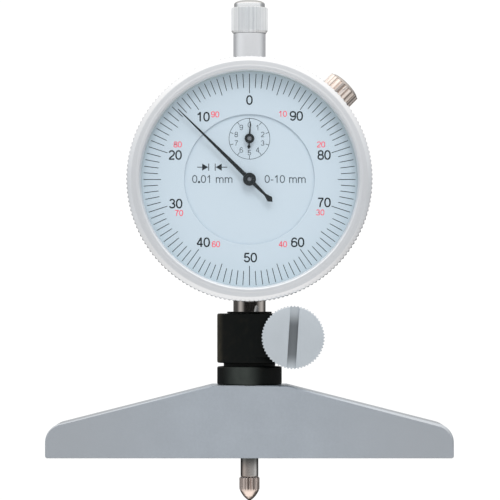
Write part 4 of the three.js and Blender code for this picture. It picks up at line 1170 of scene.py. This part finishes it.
def dial_plate():
    """The recessed inner dial, with holes for the two arbors."""
    body = disc("dial_plate", "inner_dial", (0, 0, 0, 0))
    low, high = plate_front - overrun, span("dial_plate", Y)[1] + overrun
    radius = arbor_radius + running_gap
    return combine(body, [rod("hole", radius, low, high, 32, facing_back(0, z)) for z in (dial_z, counter_z)])


# Printing


def band(path, width, closed=False):
    """The points and faces of a printed stroke: its path moved to both sides by half its width."""
    path = np.asarray(path, float)
    if closed:
        along = np.roll(path, -1, axis=0) - np.roll(path, 1, axis=0)
    else:
        along = np.gradient(path, axis=0)
    along = unit(along)
    side = np.column_stack([-along[:, 1], along[:, 0]]) * np.reshape(width, (-1, 1)) / 2
    near = -print_thickness
    rails = [(path + side, near), (path - side, near), (path - side, 0), (path + side, 0)]
    points = np.vstack([np.column_stack([rail, np.full(len(path), depth)]) for rail, depth in rails])
    faces = grid_faces(4, len(path), True, closed)
    if not closed:
        ends = np.arange(4) * len(path)
        faces += [ends.tolist(), (ends + len(path) - 1).tolist()]
    return points, faces


def ticks(count, inner, outer, width, centre=(0.0, 0.0)):
    """Radial strokes from the inner to the outer radius, evenly round a centre, the first at the top."""
    angle = math.pi / 2 + np.arange(count) * 2 * math.pi / count
    ways = np.stack([np.cos(angle), np.sin(angle)], axis=-1)
    return [band([centre + way * low, centre + way * outer], width)
            for way, low in zip(ways, np.broadcast_to(inner, count))]


def printed(name, patches, front):
    """One piece from several printed strokes, just in front of a face of the dial."""
    points, faces, count = [], [], 0
    for patch_points, patch_faces in patches:
        points.append(patch_points)
        faces += [[corner + count for corner in face] for face in patch_faces]
        count += len(patch_points)
    return piece(name, np.vstack(points) + (0, 0, front - print_gap), faces, in_dial_plane())


def arc(x, up, across, tall, start, end):
    """Part of an oval: (x + across cos a, up + tall sin a), with a in degrees from start to end."""
    angle = np.radians(np.linspace(start, end, 20))
    return np.column_stack([x + across * np.cos(angle), up + tall * np.sin(angle)])


def powered(wave, power):
    """A wave with its size raised to a power, which below 1 squares an oval."""
    return np.sign(wave) * np.abs(wave) ** power


def oval(x, up, across, tall, steps=40, power=oval_power):
    """A whole oval, a little squarer than an ellipse where the power is below 1."""
    angle = np.arange(steps) * 2 * math.pi / steps
    return np.column_stack([
        x + across * powered(np.cos(angle), power), up + tall * powered(np.sin(angle), power)])


def line(*corners, radius=0.0):
    """A stroke through corners, those between its ends rounded alike."""
    return rounded([corners[0], *[(*corner, radius) for corner in corners[1:-1]], corners[-1]], 8)


def m_leg(x):
    """An arch of the letter m with its right leg, from the place of its left leg."""
    return np.vstack([arc(x + 0.2, 0.48, 0.2, 0.19, 180, 0), [(x + 0.4, 0.25), (x + 0.4, 0)]])


# Strokes of each sign in heights of a numeral: open ones, then closed ones

SIX_TAIL = arc(0.33, 0.5, 0.27, 0.44, 178, 38)
SIX_BOWL = oval(0.31, 0.31, 0.25, 0.255)
TWO_FOOT = line((0.44, 0.45), (0.14, 0.2), (0.07, 0.08), radius=0.1)
strokes = {
    "0": ([], [oval(0.31, 0.5, 0.25, 0.44)]),
    "1": ([line((0.36, 0), (0.36, 1)), line((0.1, 0.72), (0.26, 0.8), (0.36, 0.97), radius=0.2)], []),
    "2": ([np.vstack([arc(0.31, 0.69, 0.24, 0.25, 168, -28), TWO_FOOT]),
           line((0.03, 0.06), (0.57, 0.06))], []),
    "3": ([arc(0.29, 0.72, 0.21, 0.22, 165, -90), arc(0.29, 0.285, 0.25, 0.225, 90, -165)], []),
    "4": ([line((0.42, 0.96), (0.04, 0.3)), line((0.03, 0.28), (0.59, 0.28)), line((0.43, 0), (0.43, 1))], []),
    "5": ([line((0.13, 0.94), (0.54, 0.94)), line((0.14, 0.96), (0.08, 0.47)),
           arc(0.3, 0.32, 0.25, 0.26, 142, -165)], []),
    "6": ([SIX_TAIL], [SIX_BOWL]),
    "7": ([line((0.04, 0.94), (0.58, 0.94)), line((0.56, 0.92), (0.3, 0.5), (0.23, 0), radius=0.9)], []),
    "8": ([], [oval(0.31, 0.72, 0.21, 0.22), oval(0.31, 0.285, 0.25, 0.235)]),
    "9": ([(0.62, 1) - SIX_TAIL], [(0.62, 1) - SIX_BOWL]),
    "m": ([line((0.13, 0), (0.13, 0.73)), m_leg(0.13), m_leg(0.53)], []),
    "-": ([line((0.06, 0.38), (0.37, 0.38))], []),
    " ": ([], []),
}
numeral_width = 0.62
numeral_room = 0.67
room = {"m": 1.05, "-": 0.45, " ": 0.36}


def lettering(text, x, up, height, pen):
    """Signs in a row, centred on a place in the dial's plane. The pen's width is a share of the height."""
    starts = np.cumsum([0.0] + [room.get(sign, numeral_room) for sign in text])
    middle = (starts[-1] - (numeral_room - numeral_width)) / 2
    patches = []
    for sign, start in zip(text, starts):
        for paths, closed in zip(strokes[sign], (False, True)):
            for path in paths:
                placed = (path + (start - middle, -sign_middle)) * (sign_width * height, height) + (x, up)
                patches.append(band(placed, pen * height, closed))
    return patches


def dial_place(column, row):
    """A place in the dial's plane from a column and row of the enlarged photograph, in millimetres."""
    centre_column, centre_row = 728.2, 940.0
    photo_scale = 0.24452 / 5.224
    return (column - centre_column) * photo_scale, (centre_row - row) * photo_scale


def numbers(places, height, pen):
    """Texts, each at its column and row of the enlarged photograph."""
    return [patch for text, column, row in places
            for patch in lettering(text, *dial_place(column, row), height, pen)]


def outer_dial_black():
    """The hundred ticks and the black numbers that run counter-clockwise."""
    number = np.arange(100)
    inner = np.where(number % 10 == 0, ten_tick_inner, np.where(number % 5 == 0, five_tick_inner, tick_inner))
    places = [
        ("0", 728, 525), ("10", 486, 612), ("20", 340, 812), ("30", 343, 1066), ("40", 487, 1268),
        ("50", 733, 1348), ("60", 980, 1268), ("70", 1118, 1060), ("80", 1118, 812), ("90", 973, 608)]
    patches = ticks(100, inner, tick_outer, tick_width) + numbers(places, black_height, black_pen)
    return printed("black_scale", patches, ring_front)


def outer_dial_red():
    """The red numbers that run clockwise."""
    places = [
        ("90", 549, 600), ("10", 902, 597), ("80", 353, 757), ("20", 1102, 757), ("70", 360, 1115),
        ("30", 1098, 1112), ("60", 553, 1278), ("40", 903, 1278)]
    return printed("red_scale", numbers(places, red_height, red_pen), ring_front)


def inner_dial_grey():
    """The grey lettering and the counter's small scale."""
    patches = numbers([("0 01 mm", 534, 937), ("0-10 mm", 915, 937)], unit_height, unit_pen)
    up = counter_z - dial_z
    ring = oval(0.0, up, counter_ring_radius, counter_ring_radius, steps=96, power=1.0)
    patches.append(band(ring, counter_ring_width, True))
    patches += ticks(10, counter_tick_inner, counter_ring_radius, counter_tick_width, (0.0, up))
    for digit in range(10):
        angle = math.pi / 2 - digit * math.pi / 5
        x, rise = counter_digit_radius * math.cos(angle), counter_digit_radius * math.sin(angle)
        patches += lettering(str(digit), x, up + rise, counter_height, counter_pen)
    return printed("grey_lettering", patches, plate_front)


def inner_dial_arrows():
    """The two arrows over the reading, which point at each other's bar, and the reading's heavy point."""
    patches = [band([(dot_x - dot_width / 2, dot_up), (dot_x + dot_width / 2, dot_up)], dot_width)]
    for side, tail, bar in ((1, 455, 515), (-1, 612, 549)):
        tail_x, up = dial_place(tail, arrow_row)
        bar_x, _ = dial_place(bar, arrow_row)
        neck_x = bar_x - side * arrow_length
        patches += [
            band([(neck_x, up), (bar_x - side * arrow_gap, up)], (2 * arrow_half_height, 0)),
            band([(tail_x, up), (neck_x, up)], arrow_pen),
            band([(bar_x, up - arrow_half_height), (bar_x, up + arrow_half_height)], arrow_pen)]
    return printed("black_arrows", patches, plate_front)


# Pointers


def blade(stations, widths, front, back, place, steps):
    """A hand with a crowned face: its half width follows the stations, and its section is a flattened oval.

    At share t round the section the point is (half width times cos t, middle plus half thickness times sin t),
    each with its power below 1 so that the section is nearly square.
    """
    count = blade_section_points
    along = np.linspace(stations[0], stations[-1], steps)
    half = np.interp(along, stations, widths)
    around = np.linspace(0, 2 * math.pi, count + 1)[:-1]
    across = half[:, None] * powered(np.cos(around), blade_section_power)[None, :]
    depth = (front + back) / 2 + powered(np.sin(around), blade_section_power) * (back - front) / 2
    points = np.column_stack([np.repeat(along, count), across.ravel(), np.tile(depth, steps)])
    faces = grid_faces(steps, count, False, True) + [range(count), range((steps - 1) * count, steps * count)]
    return piece("needle", points, faces, place, 50)


def long_pointer():
    """The long hand: a slender needle with a spade tail and a turned hub."""
    back = span("pointer", Y)[1]
    stations = [-pointer_tail, spade_tip_length - pointer_tail, spade_length - pointer_tail, 0, pointer_reach]
    widths = [crisp, spade_width / 2, pointer_neck_width / 2, pointer_root_width / 2, pointer_tip_width / 2]
    needle = blade(stations, widths, back - pointer_thickness, back, in_dial_plane(turn=pointer_angle), 160)
    front = back - pointer_hub_height
    dish = front + pointer_hub_dish
    bore = arbor_radius + seat_gap
    hub = turned("long_hand", rounded([
        (bore, back), (bore, front, 0.03), (bore + 0.25, front, crisp), (bore + 0.35, dish, crisp),
        (pointer_hub_radius - 0.3, dish, 0.12), (pointer_hub_radius, front + 0.3, small),
        (pointer_hub_radius, back, crisp)], 5), 64, facing_back())
    return combine(hub, [needle], "UNION", 50)


def small_hand():
    """The counter's hand, with a round hub and a spade tail."""
    front, back = span("counter_pointer", Y)
    spade = hand_spade_half_length
    stations = [-hand_tail, spade - hand_tail, 2 * spade - hand_tail, 0, hand_reach]
    needle = blade(stations, hand_half_widths, front, back, in_dial_plane(0, counter_z, hand_angle), 80)
    bore = arbor_radius + seat_gap
    top = front - hand_hub_rise
    hub = turned("counter_hand", rounded([
        (bore, back), (bore, top, 0.04), (hand_hub_radius, top, 0.12), (hand_hub_radius, back, crisp)], 5),
        64, facing_back(0, counter_z))
    return combine(hub, [needle], "UNION", 50)


# Bezel lock


def lock_screw():
    """The bezel lock: a head with wide flat ridges and narrow grooves, a low dome and a plain shank."""
    low = shoe_top + loose_gap
    rise = np.linspace(0, math.pi / 2, 12)
    root = lock_head_radius - lock_tooth_depth
    dome_height = lock_head_apex - lock_head_outer
    dome = np.column_stack([root * np.cos(rise), lock_head_outer + dome_height * np.sin(rise)])
    head = rounded([
        (0, lock_shank_inner), (screw_shank_radius, lock_shank_inner, broad), (screw_shank_radius, low),
        (lock_head_radius, low, small), (lock_head_radius, lock_head_outer, 0.12), (root, lock_head_outer)], 5)
    profile = np.vstack([head, dome[1:-1], [(0, lock_head_apex)]])
    carve = knurl(lock_teeth, lock_tooth_depth, lock_head_radius, lock_tooth_flat)
    return turned("lock_knob", profile, lock_teeth * 16, along_lock, carve, 26)


def lock_shoe():
    """The shoe between the lock screw and the bezel's skirt, bored for the screw."""
    low = case_radius + loose_gap
    step = bezel_radius - skirt_step + loose_gap
    step_y = span("bezel", Y)[1] + loose_gap - lock_y
    front, back = step_y - shoe_overlap, lock_head_radius - lock_tooth_depth
    corner = shoe_corner_round
    outline = rounded([
        (front, step, soft), (step_y, step), (step_y, low, soft), (back, low, corner),
        (back, shoe_top, corner), (front, shoe_top, 0.4)])
    section = round_section(-shoe_width / 2, shoe_width / 2, small)
    body = slab("lock_clamp", outline, section, lambda points: along_lock(points[:, [2, 0, 1]]))
    hole = rod("hole", screw_shank_radius + loose_gap, low - overrun, shoe_top + overrun, 48, along_lock)
    return combine(body, [hole])


# Assembly: each piece, the body that it rides on, the nodes that it replaces and its finish


def fit(made, body, nodes, finish):
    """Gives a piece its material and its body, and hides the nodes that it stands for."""
    made.data.materials.clear()
    made.data.materials.append(finishes[finish])
    made.modifiers.new("flat_faces_kept_flat", "WEIGHTED_NORMAL").keep_sharp = True
    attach(made, body)
    if nodes:
        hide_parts(*nodes)
    return made


fit(measuring_base(), "base_frame", ["base"], "ground_steel")
fit(collar_set_screw(), "base_frame", ["collar_set_screw"], "black_oxide")
fit(split_collar(), "base_frame", ["collar"], "black_oxide")
fit(clamp_bush(), "clamp_bush", ["clamp_bush"], "black_oxide")
fit(clamp_screw(), "clamp_screw", ["clamp_screw"], "satin_nickel_knob")
fit(stem(), "indicator", ["stem"], "polished_steel")
fit(upper_sleeve(), "indicator", ["upper_sleeve"], "sleeve_aluminium")
fit(top_cap(), "indicator", ["top_cap"], "satin_nickel_cap")
fit(spindle(), "spindle_group", ["spindle"], "spindle_steel")
fit(contact_point(), "spindle_group", ["contact_point"], "contact_steel")
fit(case_body(), "indicator", ["case_body"], "case_aluminium")
fit(back_cover(), "indicator", ["back_cover"], "case_aluminium")
for number, centre in enumerate(screw_centres, 1):
    fit(cover_screw(number, centre), "indicator", [f"cover_screw_{number}"], "bright_nickel")
fit(bezel(), "bezel_group", ["bezel"], "bezel_aluminium")
crystal = disc("crystal", "clear_crystal", (0, soft, fine, 0))
fit(crystal, "bezel_group", ["crystal"], "clear_crystal")
spacer = disc("dial_spacer", "rim_spacer", [spacer_round] * 4, half_of("dial_spacer") - spacer_wall)
fit(spacer, "bezel_group", ["dial_spacer"], "spacer_paint")
outer_dial = disc("dial_ring", "outer_dial", (broad, 0, 0, crisp), dial_hole_radius)
fit(outer_dial, "bezel_group", ["dial_ring"], "dial_paint")
fit(dial_plate(), "indicator", ["dial_plate"], "dial_paint")
fit(outer_dial_black(), "bezel_group", [], "black_ink")
fit(outer_dial_red(), "bezel_group", [], "red_ink")
fit(inner_dial_grey(), "indicator", [], "grey_ink")
fit(inner_dial_arrows(), "indicator", [], "black_ink")
fit(long_pointer(), "centre_group", ["pointer"], "pointer_black")
fit(small_hand(), "counter_group", ["counter_pointer"], "pointer_black")
fit(lock_screw(), "bezel_lock", ["bezel_lock_screw"], "bright_nickel")
fit(lock_shoe(), "indicator", ["bezel_lock_shoe"], "bright_nickel")

# Solids of the movement that stay as they are, with the finish of their slot

slot_finishes = {
    "brass": "machined_brass", "satin_aluminium": "case_aluminium", "satin_nickel": "satin_nickel_cap",
    "clear_glass": "clear_crystal"}
for part in frame["record"]["subparts"]:
    solid = frame["nodes"][part["node"]]
    slot = part["material_slot"]
    solid.data.materials.clear()
    solid.data.materials.append(finishes[slot_finishes.get(slot, slot)])

# Camera: level, in front of the stem, where the photograph was taken from

camera_place = (0.13, -620.0, 50.0)
frame_centre_height = 61.955
front_plane = 612.0
sensor_width = 36.0
focal_length = 180.2

camera_data = bpy.data.cameras.new("camera")
camera_data.sensor_width = sensor_width
camera_data.lens = focal_length
camera_data.shift_y = (frame_centre_height - camera_place[Z]) / front_plane * focal_length / sensor_width
camera_data.clip_start = 0.01
camera_data.clip_end = 20
camera = bpy.data.objects.new("camera", camera_data)
camera.location = [place * MM for place in camera_place]
camera.rotation_euler = (math.pi / 2, 0, 0)
bpy.context.scene.collection.objects.link(camera)
bpy.context.scene.camera = camera
bpy.context.scene.view_settings.view_transform = "Standard"

# Studio: a white floor and backdrop, a soft world and soft lamps

white = (1.0, 1.0, 1.0, 1.0)
backdrop_glow = 1.05
backdrop_radius = 4000.0
backdrop_rows = 24
backdrop_steps = 48
floor_half = 3000.0
floor_z = -0.05
lamp_aim = np.array([0.0, 0.0, 79.0])


def white_surround(made):
    """Makes an object a white glow that the camera alone sees, not reflections, shadows or scattered light."""
    made.data.materials.append(bpy.data.materials.new("white_" + made.name))
    glow = Nodes(made.data.materials[0])
    light = glow.node("ShaderNodeEmission", {}, {"Color": white, "Strength": backdrop_glow})
    glow.node("ShaderNodeOutputMaterial", {}, {"Surface": light.outputs[0]})
    for kind in ("diffuse", "glossy", "transmission", "volume_scatter", "shadow"):
        setattr(made, "visible_" + kind, False)


def panel(name, place, size, power):
    """A soft lamp at a place, aimed at the gauge and unseen in reflections, in millimetres and watts."""
    data = bpy.data.lights.new(name, "AREA")
    data.shape = "RECTANGLE"
    data.size, data.size_y = size[0] * MM, size[1] * MM
    data.energy = power
    lamp = bpy.data.objects.new(name, data)
    lamp.location = [value * MM for value in place]
    lamp.rotation_euler = Vector((lamp_aim - place).tolist()).to_track_quat("-Z", "Y").to_euler()
    lamp.visible_glossy = False
    bpy.context.scene.collection.objects.link(lamp)


def studio_world():
    """A soft room, light in front, brighter and warmer above, darker behind.

    A dark strip lies at the horizon in front, where the camera stands, and a light gap straight behind. The
    azimuth is 0 degrees in front and 90 on the right.
    """
    world = bpy.data.worlds.new("studio")
    bpy.context.scene.world = world
    sky = Nodes(world)
    x, y, z = sky.parts(sky.node("ShaderNodeTexCoord").outputs["Generated"])
    azimuth = x.math("ARCTAN2", y * -1.0) * (180 / math.pi)
    behind = abs(azimuth - 16 + abs(z).between(0, 0.12) * 26).between(84, 116)
    gap = abs(azimuth).between(174, 177) * z.between(0.0, 0.02) * z.until(0.075, 0.095)
    depth = 0.92 - z.between(-0.03, 0.08) * 0.5 - z.between(0.25, 0.75) * 0.42
    strip = azimuth.between(-70, -30) * azimuth.until(45, 98) * z.between(-0.12, -0.02) * z.until(0.012, 0.035)
    light = 0.81 + z.between(0.08, 0.3) * 0.2 + z.between(0.4, 0.95) * 0.5 + z.until(-0.9, -0.5) * 0.28
    light = light * (1 - behind * depth * (1 - gap)) * (1 - strip * 0.975)
    tint = sky.tinted(abs(z).between(0.1, 0.6), white, (1.04, 1.0, 0.955, 1.0))
    background = sky.node("ShaderNodeBackground", {}, {"Color": tint, "Strength": light})
    sky.node("ShaderNodeOutputWorld", {}, {"Surface": background.outputs[0]})


polar = np.linspace(0, math.pi, backdrop_rows)
ball = np.column_stack([backdrop_radius * np.sin(polar), -backdrop_radius * np.cos(polar)])
ball[[0, -1], 0] = 0
white_surround(turned("backdrop", ball, backdrop_steps))
sheet = [(x * floor_half, y * floor_half, floor_z) for x, y in ((-1, -1), (1, -1), (1, 1), (-1, 1))]
white_surround(piece("floor", sheet, [(0, 1, 2, 3)]))
studio_world()
panel("key", place=(60, -480, 480), size=(260, 200), power=1.3)
panel("front", place=(0, -720, 120), size=(700, 600), power=1.7)
